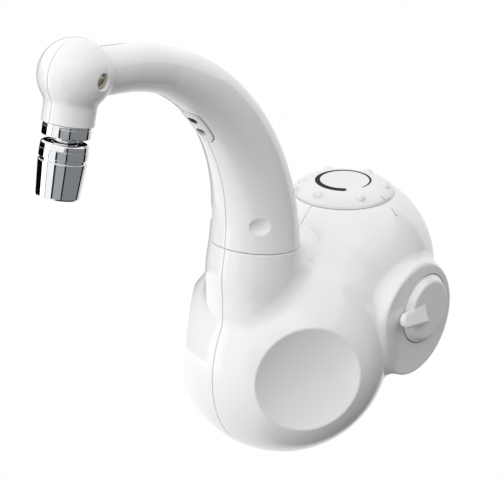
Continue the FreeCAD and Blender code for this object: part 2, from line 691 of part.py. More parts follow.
def dimple_form():
    """The oval that hollows the small dimple low on the spout."""
    turn = size("dimple_turn")
    angle = math.radians(turn)
    oval = doc.addObject("Part::Ellipsoid", "dimple_oval")
    oval.setExpression("Radius1", bound("dimple_tall"))
    oval.setExpression("Radius2", bound("dimple_wide"))
    oval.setExpression("Radius3", bound("dimple_depth"))
    doc.recompute()
    shape = oval.Shape.copy()
    out = Vector(math.sin(angle), -math.cos(angle), 0)
    centre = on_swivel(0) + Vector(0, 0, size("dimple_rise")) + out * spout_stations()[1][2]
    shape.Placement = Placement(centre, Rotation(Vector(0, 0, 1), turn))
    return shape


def spout_shells():
    """Both halves of the spout, split on the middle plane, and the sensor window from the same skin."""
    gap = size("split_gap") / 2
    wide = size("neck_radius")
    outer = spout_form(0)
    skin = outer.cut(spout_form(size("spout_wall")))
    above = above_swivel(gap)
    floor_top = gap + size("spigot_flange_thick + 2 * seat_gap")
    floor = outer.common(above).cut(above_swivel(floor_top))
    floor = floor.cut(rod(size("spigot_flange + seat_gap"), on_swivel(0), on_swivel(floor_top)))
    skin = skin.common(above).fuse(floor)
    stub_end = head_centre() + outlet_direction() * size("stub_drop")
    mouth_floor = stub_end - outlet_direction() * size("adapter_land + over_cut")
    mouth = rod(size("adapter_flange + seat_gap"), mouth_floor, stub_end + outlet_direction())
    head_seat = size("screw_face - screw_head_tall")
    recess = rod(size("screw_recess"), screw_axis(head_seat), screw_axis(wide))
    hole = rod(size("screw_shank + run_gap"), screw_axis(0), screw_axis(wide))
    ledge = rod(size("screw_recess + screw_ledge"), screw_axis(head_seat - size("screw_ledge")),
                screw_axis(wide)).common(outer)
    skin = skin.fuse(ledge).cut([mouth, recess, hole, dimple_form(), stadium(size("window_gap"))])
    window = outer.cut(spout_form(size("window_thick"))).common(stadium(0))
    return skin.common(half_space(1)), skin.common(half_space(-1)), window


# Body mouldings.
right_shell, left_shell, body_outside = body_shells()
moulded("body_shell_right", right_shell)
moulded("body_shell_left", left_shell)

root = size("drum_root")
drum = Part.makeCylinder(size("drum_radius"), size("drum_face") - root, drum_point(root), Vector(1, 0, 0))
rim = [edge for edge in drum.Edges if abs(edge.BoundBox.XMin - size("drum_face")) < NEAR]
drum = drum.makeFillet(size("drum_round"), rim)
drum_hollow = Part.makeCylinder(size("drum_radius - shell_wall"), size("drum_face - shell_wall") - root,
                                drum_point(root), Vector(1, 0, 0))
stem_way = rod(size("stem_hole"), lever_point(root), lever_point(size("drum_face + over_cut")))
drum = drum.cut([drum_hollow, stem_way, body_outside])
moulded("side_drum", max(drum.Solids, key=lambda solid: solid.Volume))

# Wall plate, inlet and cable inlet.
plate = cylinder("plate_disc", "plate_radius", "plate_thick", ("0", "-plate_thick", "lobe_rise"), *TO_WALL)
plate_bores = [
    cylinder("plate_inlet_hole", "inlet_radius + seat_gap", "plate_thick + 2 * over_cut",
             ("0", "-plate_thick - over_cut", "0"), *TO_WALL),
    cylinder("plate_cable_hole", "grommet_radius", "plate_thick + 2 * over_cut",
             ("0", "-plate_thick - over_cut", "grommet_rise"), *TO_WALL)]
for index, turn in enumerate(PLATE_SCREW_TURNS):
    spot = (f"plate_screw_ring * cos({turn})", "-plate_thick - over_cut",
            f"lobe_rise + plate_screw_ring * sin({turn})")
    plate_bores.append(cylinder(f"plate_screw_hole_{index}", "plate_screw_radius + run_gap",
                                "plate_thick + 2 * over_cut", spot, *TO_WALL))
    spot = (spot[0], "-plate_screw_head + plate_screw_radius", spot[2])
    plate_bores.append(cylinder(f"plate_screw_sink_{index}", "plate_screw_head + seat_gap", "plate_thick",
                                spot, *TO_WALL))
cut("wall_plate", plate, joined("plate_bores", *plate_bores))

screws = []
for index, turn in enumerate(PLATE_SCREW_TURNS):
    spot = (f"plate_screw_ring * cos({turn})", "-seat_gap", f"lobe_rise + plate_screw_ring * sin({turn})")
    shank = cylinder(f"plate_screw_shank_{index}", "plate_screw_radius", "plate_screw_length - seat_gap",
                     spot, *FROM_WALL)
    head = cylinder(f"plate_screw_head_{index}", "plate_screw_head",
                    "plate_screw_head - plate_screw_radius - seat_gap", spot, *FROM_WALL)
    screws.append(joined(f"plate_screw_{index}", shank, head))
group = doc.addObject("Part::Compound", "plate_screws")
group.Links = screws

turned("inlet_spigot", [
    ("inlet_bore", "0"), ("inlet_flange", "0"), ("inlet_flange", "inlet_flange_thick"),
    ("inlet_relief", "inlet_flange_thick"),
    ("inlet_relief", "inlet_flange_thick + shell_wall + plate_thick"),
    ("inlet_radius", "inlet_flange_thick + shell_wall + plate_thick"),
    ("inlet_radius", "inlet_flange_thick + shell_wall + plate_thick + inlet_length"),
    ("inlet_bore", "inlet_flange_thick + shell_wall + plate_thick + inlet_length"),
], ("0", "-plate_thick - shell_wall - inlet_flange_thick", "0"), *TO_WALL)

turned("inlet_filter", [
    ("0", "0"), ("inlet_bore - run_gap", "0"), ("inlet_bore - run_gap", "filter_length"),
    ("inlet_bore - filter_wall - run_gap", "filter_length"),
    ("inlet_bore - filter_wall - run_gap", "filter_wall"),
    ("0", "filter_wall"),
], ("0", "inlet_length - filter_length - over_cut", "0"), *TO_WALL)

turned("cable_grommet", [
    ("cable_bore", "0"), ("grommet_lip", "0"), ("grommet_lip", "grommet_thick"),
    ("grommet_radius - run_gap", "grommet_thick"),
    ("grommet_radius - run_gap", "grommet_thick + shell_wall + plate_thick - seat_gap"),
    ("cable_bore", "grommet_thick + shell_wall + plate_thick - seat_gap"),
], ("0", "-plate_thick - shell_wall - grommet_thick", "grommet_rise"), *TO_WALL)

# Water path in the lobe.
turned("flow_sensor", [
    ("meter_bore", "0"), ("meter_radius", "0"), ("meter_radius", "meter_length"),
    ("meter_bore", "meter_length"),
], ("0", f"-{BLOCK_BACK}", "0"), *TO_WALL)

block = box("block_body", ("block_width", "block_depth", "block_tall"),
            ("-block_width / 2", f"-{BLOCK_FRONT}", "block_top - block_tall"))
block_bores = [
    cylinder("block_inlet", "meter_bore", "block_depth / 2 + over_cut",
             ("0", f"-{BLOCK_BACK} - block_depth / 2", "0"), *TO_WALL),
    cylinder("block_outlet", "port_bore", "block_depth / 2 + over_cut",
             ("0", f"-{BLOCK_FRONT} - over_cut", "-solenoid_drop"), *TO_WALL),
    cylinder("block_stem_bore", "stem_radius + run_gap", "stem_inset + seat_gap + over_cut",
             ("block_width / 2 - stem_inset - seat_gap", "-lever_reach", "-lever_drop"), *ALONG_X)]
cut("valve_block", block, joined("block_bores", *block_bores))

turned("solenoid_valve", [
    ("port_bore", "0"), ("solenoid_radius", "0"), ("solenoid_radius", f"{PORT_FACE} - {BLOCK_FRONT}"),
    ("port_bore", f"{PORT_FACE} - {BLOCK_FRONT}"),
], ("0", f"-{BLOCK_FRONT}", "-solenoid_drop"), *FROM_WALL)

turned("solenoid_coil", [
    ("0", "0"), ("coil_radius", "0"), ("coil_radius", "coil_tall"), ("0", "coil_tall"),
], ("0", f"-({BLOCK_FRONT} + {PORT_FACE}) / 2", "solenoid_radius - solenoid_drop + run_gap"))

# Heater in the bulb.
tank = cylinder("tank_outside", "tank_radius", TANK_TALL, ("0", f"-{TANK_REACH}", f"tank_top - {TANK_TALL}"))
tank_edge = doc.addObject("Part::Fillet", "tank_rounded")
doc.recompute()
tank_edge.Base = tank
top_edge = max(range(len(tank.Shape.Edges)), key=lambda i: tank.Shape.Edges[i].BoundBox.ZMin)
tank_edge.Edges = [(top_edge + 1, size("tank_round"), size("tank_round"))]
port = cylinder("tank_cold_port", "tank_port", "port_length + tank_radius / 2",
                ("0", f"-{PORT_FACE}", "-solenoid_drop"), *FROM_WALL)
boss = cylinder("tank_hot_boss", "boss_radius",
                "neck_rise - tank_top - boss_top + tank_wall + 2 * over_cut",
                ("0", "-neck_reach - boss_top * sin(neck_lean)", "neck_rise - boss_top * cos(neck_lean)"),
                Vector(1, 0, 0), "180 - neck_lean")
tank_body = joined("tank_with_ports", tank_edge, port, boss)
inside = cylinder("tank_inside", "tank_radius - tank_wall", f"{TANK_TALL} - tank_wall",
                  ("0", f"-{TANK_REACH}", f"tank_top - {TANK_TALL} - over_cut"))
hot_bore = cylinder("tank_hot_bore", "riser_bore",
                    "neck_rise - tank_top - boss_top + tank_round + boss_radius",
                    ("0", "-neck_reach - (boss_top - over_cut) * sin(neck_lean)",
                     "neck_rise - (boss_top - over_cut) * cos(neck_lean)"),
                    Vector(1, 0, 0), "180 - neck_lean")
cold_bore = cylinder("tank_cold_bore", "port_bore", "port_length + tank_radius / 2 + over_cut",
                     ("0", f"over_cut - {PORT_FACE}", "-solenoid_drop"), *FROM_WALL)
cut("heater_tank", tank_body, joined("tank_bores", inside, hot_bore, cold_bore))

turned("tank_lid", [
    ("0", "0"), ("lid_radius", "0"), ("lid_radius", "lid_thick"), ("0", "lid_thick"),
], ("0", f"-{TANK_REACH}", f"-{LID_FOOT}"))

legs = []
for index, side in enumerate(("-", "")):
    legs.append(cylinder(f"rod_leg_{index}", "rod_radius", "rod_tall",
                         (f"{side}rod_pitch", f"-{TANK_REACH}", f"tank_top - {TANK_TALL}")))
bow = doc.addObject("Part::Torus", "rod_bow")
bow.setExpression("Radius1", bound("rod_pitch"))
bow.setExpression("Radius2", bound("rod_radius"))
bow.Angle3 = 180
place(bow, ("0", f"-{TANK_REACH}", f"tank_top - {TANK_TALL} + rod_tall"), *FROM_WALL)
joined("heating_rod", bow, *legs)

turned("thermal_cutout", [
    ("0", "0"), ("cutout_radius", "0"), ("cutout_radius", "cutout_tall"), ("0", "cutout_tall"),
], ("0", f"tank_radius / 2 - {TANK_REACH}", "tank_top"))

turned("riser_tube", [
    ("riser_bore", "0"), ("riser_radius", "0"), ("riser_radius", "boss_top - socket_depth"),
    ("riser_bore", "boss_top - socket_depth"),
], ("0", "-neck_reach - boss_top * sin(neck_lean)", "neck_rise - boss_top * cos(neck_lean)"),
    Vector(1, 0, 0), LEAN)

# Swivel.
turned("swivel_socket", [
    ("riser_bore", "0"), ("socket_radius", "0"),
    ("socket_radius", "socket_depth - flange_drop - flange_thick"),
    ("socket_flange", "socket_depth - flange_drop - flange_thick"),
    ("socket_flange", "socket_depth - flange_drop"),
    ("socket_radius", "socket_depth - flange_drop"), ("socket_radius", "socket_depth - split_gap"),
    ("socket_bore", "socket_depth - split_gap"), ("socket_bore", "socket_floor"),
    ("riser_bore", "socket_floor"),
], ("0", "-neck_reach - socket_depth * sin(neck_lean)", "neck_rise - socket_depth * cos(neck_lean)"),
    Vector(1, 0, 0), LEAN)

groove = "socket_bore - 2 * seal_section - 2 * run_gap"
lower = "spigot_length - seal_drop - seal_pitch - seal_section - run_gap"
upper = "spigot_length - seal_drop - seal_section - run_gap"
turned("swivel_spigot", [
    ("spigot_bore", "0"), ("socket_bore - run_gap", "0"),
    ("socket_bore - run_gap", lower), (groove, lower),
    (groove, f"{lower} + 2 * seal_section + 2 * run_gap"),
    ("socket_bore - run_gap", f"{lower} + 2 * seal_section + 2 * run_gap"),
    ("socket_bore - run_gap", upper), (groove, upper),
    (groove, f"{upper} + 2 * seal_section + 2 * run_gap"),
    ("socket_bore - run_gap", f"{upper} + 2 * seal_section + 2 * run_gap"),
    ("socket_bore - run_gap", "spigot_length + split_gap / 2 + seat_gap"),
    ("spigot_flange", "spigot_length + split_gap / 2 + seat_gap"),
    ("spigot_flange", "spigot_length + split_gap / 2 + seat_gap + spigot_flange_thick"),
    ("barb_radius", "spigot_length + split_gap / 2 + seat_gap + spigot_flange_thick"),
    ("barb_radius", "spigot_length + barb_length"), ("spigot_bore", "spigot_length + barb_length"),
], ("0", "-neck_reach - spigot_length * sin(neck_lean)", "neck_rise - spigot_length * cos(neck_lean)"),
    Vector(1, 0, 0), LEAN)

seals = []
inner = "(socket_bore - 2 * seal_section - run_gap)"
outer = "(socket_bore - run_gap)"
for index, drop in enumerate(("(seal_drop + seal_section)", "(seal_drop + seal_pitch + seal_section)")):
    seals.append(turned(f"swivel_seal_{index}", [
        (inner, "seal_bevel"), (f"{inner} + seal_bevel", "0"), (f"{outer} - seal_bevel", "0"),
        (outer, "seal_bevel"), (outer, "2 * seal_section - seal_bevel"),
        (f"{outer} - seal_bevel", "2 * seal_section"), (f"{inner} + seal_bevel", "2 * seal_section"),
        (inner, "2 * seal_section - seal_bevel"),
    ], ("0", f"-neck_reach - {drop} * sin(neck_lean)", f"neck_rise - {drop} * cos(neck_lean)"),
        Vector(1, 0, 0), LEAN))
group = doc.addObject("Part::Compound", "swivel_seals")
group.Links = seals

# Temperature knob and the electronics below it.
knob = doc.addObject("PartDesign::Body", "temp_knob")
sketch = new_sketch(knob, "knob_profile", "XZ_Plane")
draw_outline(sketch, [
    ("shaft_radius + run_gap", "0"), ("hub_radius", "0"), ("hub_radius", "knob_rim - knob_lift / 2"),
    ("knob_radius - knob_hollow", "knob_rim - knob_lift / 2"), ("knob_radius - knob_hollow", "0"),
    ("knob_radius", "0"), ("knob_skirt", "knob_rim"), ("knob_mid", "knob_mid_rise"),
    ("knob_top", "knob_top_rise"), ("knob_flat", "knob_dome"), ("0", "knob_dome"), ("0", "shaft_grip"),
    ("shaft_radius + run_gap", "shaft_grip"),
])
turn = knob.newObject("PartDesign::Revolution", "knob_turn")
turn.Profile = sketch
turn.ReferenceAxis = (sketch, ["V_Axis"])
turn.Angle = 360
doc.recompute()
nub = knob.newObject("PartDesign::AdditiveSphere", "knob_nub")
nub.setExpression("Radius", bound("nub_radius"))
nub.AttachmentSupport = (origin_plane(knob, "XY_Plane"), [""])
nub.MapMode = "FlatFace"
nub.setExpression(".AttachmentOffset.Base.x", bound("nub_ring * cos(nub_turn)"))
nub.setExpression(".AttachmentOffset.Base.y", bound("nub_ring * sin(nub_turn)"))
nub.setExpression(".AttachmentOffset.Base.z", bound("nub_rise"))
doc.recompute()
pattern = knob.newObject("PartDesign::PolarPattern", "knob_nubs")
pattern.Originals = [nub]
pattern.Axis = (sketch, ["V_Axis"])
pattern.Angle = 360
pattern.setExpression("Occurrences", bound("nub_count"))
knob.Tip = pattern
place(knob, ("0", "-lobe_reach", f"{KNOB_SEAT} + knob_lift"))

turned("knob_shaft", [
    ("0", "0"), ("shaft_radius", "0"),
    ("shaft_radius", "board_drop - seat_gap + knob_lift + shaft_grip - run_gap"),
    ("0", "board_drop - seat_gap + knob_lift + shaft_grip - run_gap"),
], ("0", "-lobe_reach", f"{KNOB_SEAT} - board_drop + seat_gap"))

turned("knob_encoder", [
    ("shaft_radius + run_gap", "0"), ("encoder_radius", "0"), ("encoder_radius", "encoder_tall"),
    ("bush_radius", "encoder_tall"), ("bush_radius", "board_drop - shell_wall"),
    ("shaft_radius + run_gap", "board_drop - shell_wall"),
], ("0", "-lobe_reach", f"{KNOB_SEAT} - board_drop"))

panel = box("board_panel", ("board_side", "board_side", "board_thick"),
            ("-board_side / 2", "-lobe_reach - board_side / 2", f"{KNOB_SEAT} - board_drop - board_thick"))
board_holes = []
board_screws = []
for index, (x, y) in enumerate((("-", "-"), ("-", ""), ("", "-"), ("", ""))):
    spot = (f"{x}post_pitch", f"{y}post_pitch - lobe_reach", f"{KNOB_SEAT} - board_drop - board_thick")
    board_holes.append(cylinder(f"board_hole_{index}", "board_screw + run_gap", "board_thick", spot))
    shank = cylinder(f"board_screw_shank_{index}", "board_screw", "board_screw_length", spot)
    head = cylinder(f"board_screw_head_{index}", "board_screw_head", "board_screw_head",
                    (spot[0], spot[1], f"{spot[2]} - board_screw_head"))
    board_screws.append(joined(f"board_screw_{index}", shank, head))
cut("control_board", panel, joined("board_holes", *board_holes))
group = doc.addObject("Part::Compound", "board_screws")
group.Links = board_screws

box("power_relay", ("relay_wide", "relay_long", "relay_tall"),
    ("relay_wide / 2 - board_side / 2", "-lobe_reach - relay_long / 2",
     f"{KNOB_SEAT} - board_drop - board_thick - relay_tall"))
box("terminal_block", ("terminal_long", "terminal_wide", "terminal_tall"),
    ("-terminal_long / 2", "-lobe_reach + board_side / 2 - terminal_wide",
     f"{KNOB_SEAT} - board_drop - board_thick - terminal_tall"))

# Side selector.
turned("selector_stem", [
    ("0", "0"), ("stem_radius", "0"), ("stem_radius", "stem_inset"), ("stem_neck", "stem_inset"),
    ("stem_neck", "stem_inset + drum_face + lever_gap - block_width / 2 + stem_root"),
    ("0", "stem_inset + drum_face + lever_gap - block_width / 2 + stem_root"),
], ("block_width / 2 - stem_inset", "-lever_reach", "-lever_drop"), *ALONG_X)


def lever_shape():
    """Bevelled disc with a raised wing that points to the front, bored for the stem."""
    foot = size("drum_face + lever_gap")
    tall = size("lever_tall")
    disc = Part.makeCone(size("lever_disc"), size("lever_disc - lever_slope"), tall,
                         lever_point(foot), Vector(1, 0, 0))
    tip = size("wing_tip")
    tail = size("wing_tail")
    narrow = size("wing_wide") / 2
    wide = size("wing_heel") / 2
    centre = lever_point(foot + tall - size("wing_root")) + Vector(0, 0, size("wing_lift"))
    lower_tail = centre + Vector(0, tail, -wide)
    upper_tail = centre + Vector(0, tail, wide)
    upper_tip = centre + Vector(0, narrow - tip, narrow)
    lower_tip = centre + Vector(0, narrow - tip, -narrow)
    outline = Part.Wire([
        Part.Arc(lower_tail, centre + Vector(0, tail - size("wing_bow"), 0), upper_tail).toShape(),
        Part.makeLine(upper_tail, upper_tip),
        Part.Arc(upper_tip, centre - Vector(0, tip, 0), lower_tip).toShape(),
        Part.makeLine(lower_tip, lower_tail),
    ])
    wing = Part.Face(outline).extrude(Vector(size("wing_tall + wing_root"), 0, 0))
    outer_edges = [edge for edge in wing.Edges if edge.BoundBox.XMin > centre.x + size("wing_tall")]
    wing = wing.makeFillet(size("wing_round"), outer_edges)
    bore = rod(size("stem_neck + run_gap"), lever_point(foot - size("over_cut")),
               lever_point(foot + size("stem_root + run_gap")))
    return disc.fuse(wing).cut(bore)


moulded("side_lever", lever_shape())

# Spout.
right_spout, left_spout, window_skin = spout_shells()
moulded("spout_shell_right", right_spout)
moulded("spout_shell_left", left_spout)


def lens_rods(radius, start, finish):
    """Round bars through the sensor window along its depth, one for each lens."""
    bars = []
    for side in (-0.5, 0.5):
        spot = Vector(0, side * size("lens_pitch"), start)
        bars.append(Part.makeCylinder(radius, finish - start, spot))
    bars = Part.makeCompound(bars)
    bars.Placement = window_placement()
    return bars


def window_depth():
    """Distance from the spout's centre line to the skin at the window."""
    length = size("bend_start") + size("bend_radius") * math.radians(size("window_turn"))
    share = min(length / size("taper_length"), 1)
    return size("neck_radius") + size("tip_radius - neck_radius") * share


skin_level = window_depth()
lens_face = skin_level + size("lens_proud")
lens_back = skin_level - size("window_thick + lens_tail")
moulded("sensor_window", window_skin.cut(lens_rods(size("lens_radius + run_gap"), lens_back, lens_face)))
moulded("sensor_lenses", lens_rods(size("lens_radius"), lens_back, lens_face))
board_across = size("window_wide - 2 * sensor_board_margin")
board_along = size("window_long - 2 * sensor_board_margin")
board_deep = size("sensor_board_thick")
board = Part.makeBox(board_across, board_along, board_deep,
                     Vector(-board_across / 2, -board_along / 2, lens_back - board_deep))
board.Placement = window_placement()
moulded("sensor_board", board)


def route(points):
    """Straight runs joined by tangent arcs through a list of points."""
    edges = []
    here = points[0]
    for before, corner, after in zip(points, points[1:], points[2:]):
        back = before - corner
        ahead = after - corner
        turn = math.pi - back.getAngle(ahead)
        trim = 0.45 * min(back.Length, ahead.Length)
        leave = corner + back.normalize() * trim
        arrive = corner + ahead.normalize() * trim
        radius = trim / math.tan(turn / 2)
        middle = (back + ahead).normalize()
        peak = corner + middle * (radius / math.cos(turn / 2) - radius)
        edges.append(Part.makeLine(here, leave))
        edges.append(Part.Arc(leave, peak, arrive).toShape())
        here = arrive
    edges.append(Part.makeLine(here, points[-1]))
    return Part.Wire(edges)


def bend_point(degrees):
    """A point of the spout's centre line on its bend."""
    angle = math.radians(degrees)
    return Vector(0, -size("neck_reach") - size("bend_radius") * (1 - math.cos(angle)),
                  size("neck_rise") + size("bend_start") + size("bend_radius") * math.sin(angle))


def tube_shape():
    """Water tube that follows the spout from its spigot to the outlet adapter."""
    heading = math.radians(size("bend_turn"))
    back = Vector(0, math.sin(heading), -math.cos(heading))
    finish = head_centre() + back * size("adapter_radius + tube_gap")
    start = on_swivel(size("barb_length"))
    points = [start, on_swivel(size("barb_length + tube_start")), bend_point(size("tube_first")),
              bend_point(size("tube_second")), bend_point(size("bend_turn")), finish]
    path = route(points)
    ways = []
    for radius in (size("tube_radius"), size("tube_bore")):
        ring = Part.Wire(Part.makeCircle(radius, start, swivel_direction()))
        ways.append(path.makePipeShell([ring], True, True))
    return ways[0].cut(ways[1])


moulded("spout_tube", tube_shape())

# Outlet, head and ball joint. Heights run out of the head along the outlet's own axis.
adapter = turned("adapter_blank", [
    ("adapter_bore", "0"), ("adapter_radius", "0"),
    ("adapter_radius", "adapter_top + stub_drop - adapter_land"),
    ("adapter_flange", "adapter_top + stub_drop - adapter_land"),
    ("adapter_flange", "adapter_top + stub_drop"), ("adapter_radius", "adapter_top + stub_drop"),
    ("adapter_radius", "adapter_top + stub_drop + adapter_nose"),
    ("adapter_bore", "adapter_top + stub_drop + adapter_nose"),
], ("0", f"-{HEAD_REACH} + adapter_top * sin(outlet_tilt)",
    f"{HEAD_RISE} + adapter_top * cos(outlet_tilt)"), Vector(1, 0, 0), TO_FRONT)
screw_line = (f"-{HEAD_REACH} + screw_reach", f"{HEAD_RISE} - screw_drop")
tapping = cylinder("adapter_tapping", "screw_shank + run_gap", "adapter_radius",
                   ("screw_end - seat_gap", *screw_line), *ALONG_X)
side_port = cylinder("adapter_side_port", "tube_bore", "adapter_radius + over_cut",
                     ("0", f"-{HEAD_REACH}", HEAD_RISE), Vector(1, 0, 0), "-180 + bend_turn")
cut("outlet_adapter", adapter, joined("adapter_bores", tapping, side_port))

shank = cylinder("head_screw_shank", "screw_shank", "screw_face - screw_end",
                 ("screw_end", *screw_line), *ALONG_X)
cap = cylinder("head_screw_cap", "screw_head", "screw_head_tall",
               ("screw_face - screw_head_tall", *screw_line), *ALONG_X)
socket = doc.addObject("Part::Prism", "head_screw_socket")
socket.Polygon = 6
socket.setExpression("Circumradius", bound("screw_shank"))
socket.setExpression("Height", bound("screw_head_tall"))
place(socket, ("screw_face - screw_head_tall / 2", *screw_line), *ALONG_X)
cut("head_screw", joined("head_screw_blank", shank, cap), socket)

turned("outlet_collar", [
    ("adapter_radius + run_gap", "seat_gap"), ("collar_radius", "seat_gap"),
    ("collar_radius", "collar_length"),
    ("stem_waist + ball_gap", "collar_length"), ("stem_waist + ball_gap", "collar_length - collar_lip"),
    ("adapter_radius + run_gap", "collar_length - collar_lip"),
], ("0", f"-{HEAD_REACH} - stub_drop * sin(outlet_tilt)", f"{HEAD_RISE} - stub_drop * cos(outlet_tilt)"),
    Vector(1, 0, 0), TO_FRONT)


def ball_stem_shape():
    """Hollow stem: a flange held by the collar, a waist, and a ball that sits in the cup."""
    flange_top = size("stub_drop + adapter_nose + spin_gap") - size("ball_drop")
    flange = Part.makeCylinder(size("stem_flange"), size("stem_flange_thick"), Vector(0, 0, flange_top))
    waist = Part.makeCylinder(size("stem_waist"), -flange_top, Vector(0, 0, flange_top))
    ball = Part.makeSphere(size("ball_radius"))
    side = size("2 * ball_radius")
    flat = Part.makeBox(2 * side, 2 * side, side, Vector(-side, -side, size("ball_radius - ball_flat")))
    bore = Part.makeCylinder(size("ball_bore"), 2 * side, Vector(0, 0, -side))
    shape = waist.fuse([flange, ball]).cut([flat, bore])
    shape.Placement = outlet_placement(size("ball_drop"))
    return shape


moulded("ball_stem", ball_stem_shape())

def cup_cap_shape():
    """Upper half of the outlet cup: bevelled lip, throat and ball socket."""
    join = -size("cup_join")
    start = -size("cup_start")
    gap = size("ball_gap")
    shoulder = start + size("cup_shoulder")
    groove_top = join - size("groove_width")
    inside = size("cup_throat - socket_inset")
    outline = [(size("cup_mouth"), start), (size("cup_lip"), start), (size("cup_radius"), shoulder),
               (size("cup_radius"), groove_top), (size("cup_radius - groove_depth"), groove_top),
               (size("cup_radius - groove_depth"), join), (inside, join),
               (inside, -size("throat_lift - over_cut")), (size("cup_throat"), -size("throat_lift"))]
    points = [Vector(r, 0, z) for r, z in outline]
    face = Part.Face(Part.makePolygon(points + [points[0]]))
    shape = face.revolve(Vector(), Vector(0, 0, 1), 360)
    shape = shape.cut(Part.makeSphere(size("ball_radius") + gap))
    shape = max(shape.Solids, key=lambda solid: solid.Volume)
    shape.Placement = outlet_placement(size("ball_drop"))
    return shape


moulded("cup_cap", cup_cap_shape())


def cup_body_shape():
    """Lower, tapered half of the outlet cup, open below."""
    join = -size("cup_join")
    tail = size("cup_tail")
    deep = size("groove_depth")
    bevel = size("cup_break")
    inner = size("cup_end - cup_wall")
    room = size("ball_radius + 2 * ball_gap")
    outline = [(size("cup_radius") - deep, join), (size("cup_radius"), join + deep),
               (size("cup_end"), tail - bevel), (size("cup_end") - bevel, tail), (inner, tail),
               (inner, size("ball_radius")), (room, size("ball_radius - over_cut")), (room, join)]
    points = [Vector(r, 0, z) for r, z in outline]
    face = Part.Face(Part.makePolygon(points + [points[0]]))
    shape = face.revolve(Vector(), Vector(0, 0, 1), 360)
    shape.Placement = outlet_placement(size("ball_drop"))
    return shape


moulded("cup_body", cup_body_shape())


def in_cup(label, outline, drop):
    """A turned piece inside the cup, at a distance below the ball's centre."""
    base = ("0", f"-{HEAD_REACH} - (ball_drop + {drop}) * sin(outlet_tilt)",
            f"{HEAD_RISE} - (ball_drop + {drop}) * cos(outlet_tilt)")
    return turned(label, outline, base, Vector(1, 0, 0), TO_FRONT)


def ball_seat_shape():
    """Plastic ring below the ball, hollowed to the ball."""
    radius = size(BORE)
    tall = size("seat_foot - seat_top")
    ring = Part.makeCylinder(radius, tall, Vector(0, 0, size("seat_top")))
    way = Part.makeCylinder(size("ball_bore"), size("2 * seat_foot"))
    shape = ring.cut([way, Part.makeSphere(size("ball_radius + ball_gap"))])
    shape.Placement = outlet_placement(size("ball_drop"))
    return shape


moulded("ball_seat", ball_seat_shape())
in_cup("aerator_insert", [
    ("0", "0"), (BORE, "0"), (BORE, "insert_tall"), ("0", "insert_tall"),
], "(cup_tail - mesh_inset - mesh_thick - insert_tall)")
in_cup("outlet_mesh", [
    ("0", "0"), (BORE, "0"), (BORE, "mesh_thick"), ("0", "mesh_thick"),
], "(cup_tail - mesh_inset - mesh_thick)")

NODES = (
    "body_shell_right", "body_shell_left", "side_drum", "wall_plate", "plate_screws", "inlet_spigot",
    "inlet_filter", "cable_grommet", "flow_sensor", "valve_block", "solenoid_valve", "solenoid_coil",
    "heater_tank", "tank_lid", "heating_rod", "thermal_cutout", "riser_tube", "swivel_socket",
    "control_board", "board_screws", "knob_encoder", "power_relay", "terminal_block",
    "temp_knob", "knob_shaft", "side_lever", "selector_stem",
    "spout_shell_right", "spout_shell_left", "swivel_spigot", "swivel_seals", "spout_tube",
    "sensor_window", "sensor_lenses", "sensor_board", "outlet_adapter", "head_screw", "outlet_collar",
    "ball_stem", "cup_cap", "cup_body", "ball_seat", "aerator_insert", "outlet_mesh",
)

doc.recompute()
for item in doc.Objects:
    if "Invalid" in item.State or "Error" in item.State:
        raise RuntimeError(f"{item.Label} did not rebuild: {item.State}")
for name in NODES:
    shape = doc.getObject(name).Shape
    if shape.isNull() or not shape.isValid() or shape.Volume <= 0:
        raise RuntimeError(f"{name} has no sound solid")

os.makedirs("parts", exist_ok=True)
for name in NODES:
    doc.getObject(name).Shape.exportStep(f"parts/{name}.step")
print(f"{len(NODES)} nodes written")
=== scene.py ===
"""Electric tap with a swivelling spout: its looks, as meshes and materials on the assembly's frame."""

import json
import logging
import math
from collections.abc import Callable, Sequence
from dataclasses import dataclass
from enum import Enum

import bpy
import numpy as np
from mathutils import Matrix, Vector


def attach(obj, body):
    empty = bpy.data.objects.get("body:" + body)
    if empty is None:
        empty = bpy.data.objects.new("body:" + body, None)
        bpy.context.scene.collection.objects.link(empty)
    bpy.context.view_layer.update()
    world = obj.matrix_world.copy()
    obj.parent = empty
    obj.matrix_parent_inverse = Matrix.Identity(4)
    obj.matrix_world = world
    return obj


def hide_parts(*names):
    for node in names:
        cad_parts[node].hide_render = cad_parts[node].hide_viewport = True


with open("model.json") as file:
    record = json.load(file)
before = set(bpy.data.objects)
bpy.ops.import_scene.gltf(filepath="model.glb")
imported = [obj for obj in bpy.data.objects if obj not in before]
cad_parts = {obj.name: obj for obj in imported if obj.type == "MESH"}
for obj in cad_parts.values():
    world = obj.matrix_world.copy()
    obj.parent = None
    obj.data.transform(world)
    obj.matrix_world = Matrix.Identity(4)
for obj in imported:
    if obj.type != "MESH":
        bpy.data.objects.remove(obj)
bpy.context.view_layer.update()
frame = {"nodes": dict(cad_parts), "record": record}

logging.basicConfig(level=logging.INFO, format="%(message)s")
log = logging.getLogger("tap")

# Sizes are in millimetres along the frame's axes, and MM turns them to metres.
MM = 0.001
TINY = 1e-9
SMOOTH_ANGLE = math.radians(34)
SMOOTH_COS = math.cos(SMOOTH_ANGLE)
# The slope of a bevel between two walls that meet at a right angle.
BEVEL = math.sqrt(0.5)
# Share of the pitch by which grid planes stand off round numbers, so that no flat wall lies in one.
OFF_GRID = 0.01713
# What all finishes share: their coat, the clouds of their colour and the depth of their bump.
COAT_ROUGHNESS = 0.04
CLOUD_MM = 14.0
BUMP_MM = 0.1
# Y and Z of the lever's axis, and the radius of the hole for its stem.
LEVER_AXIS = (-35.4, -8.8)
STEM_HOLE = 6.5

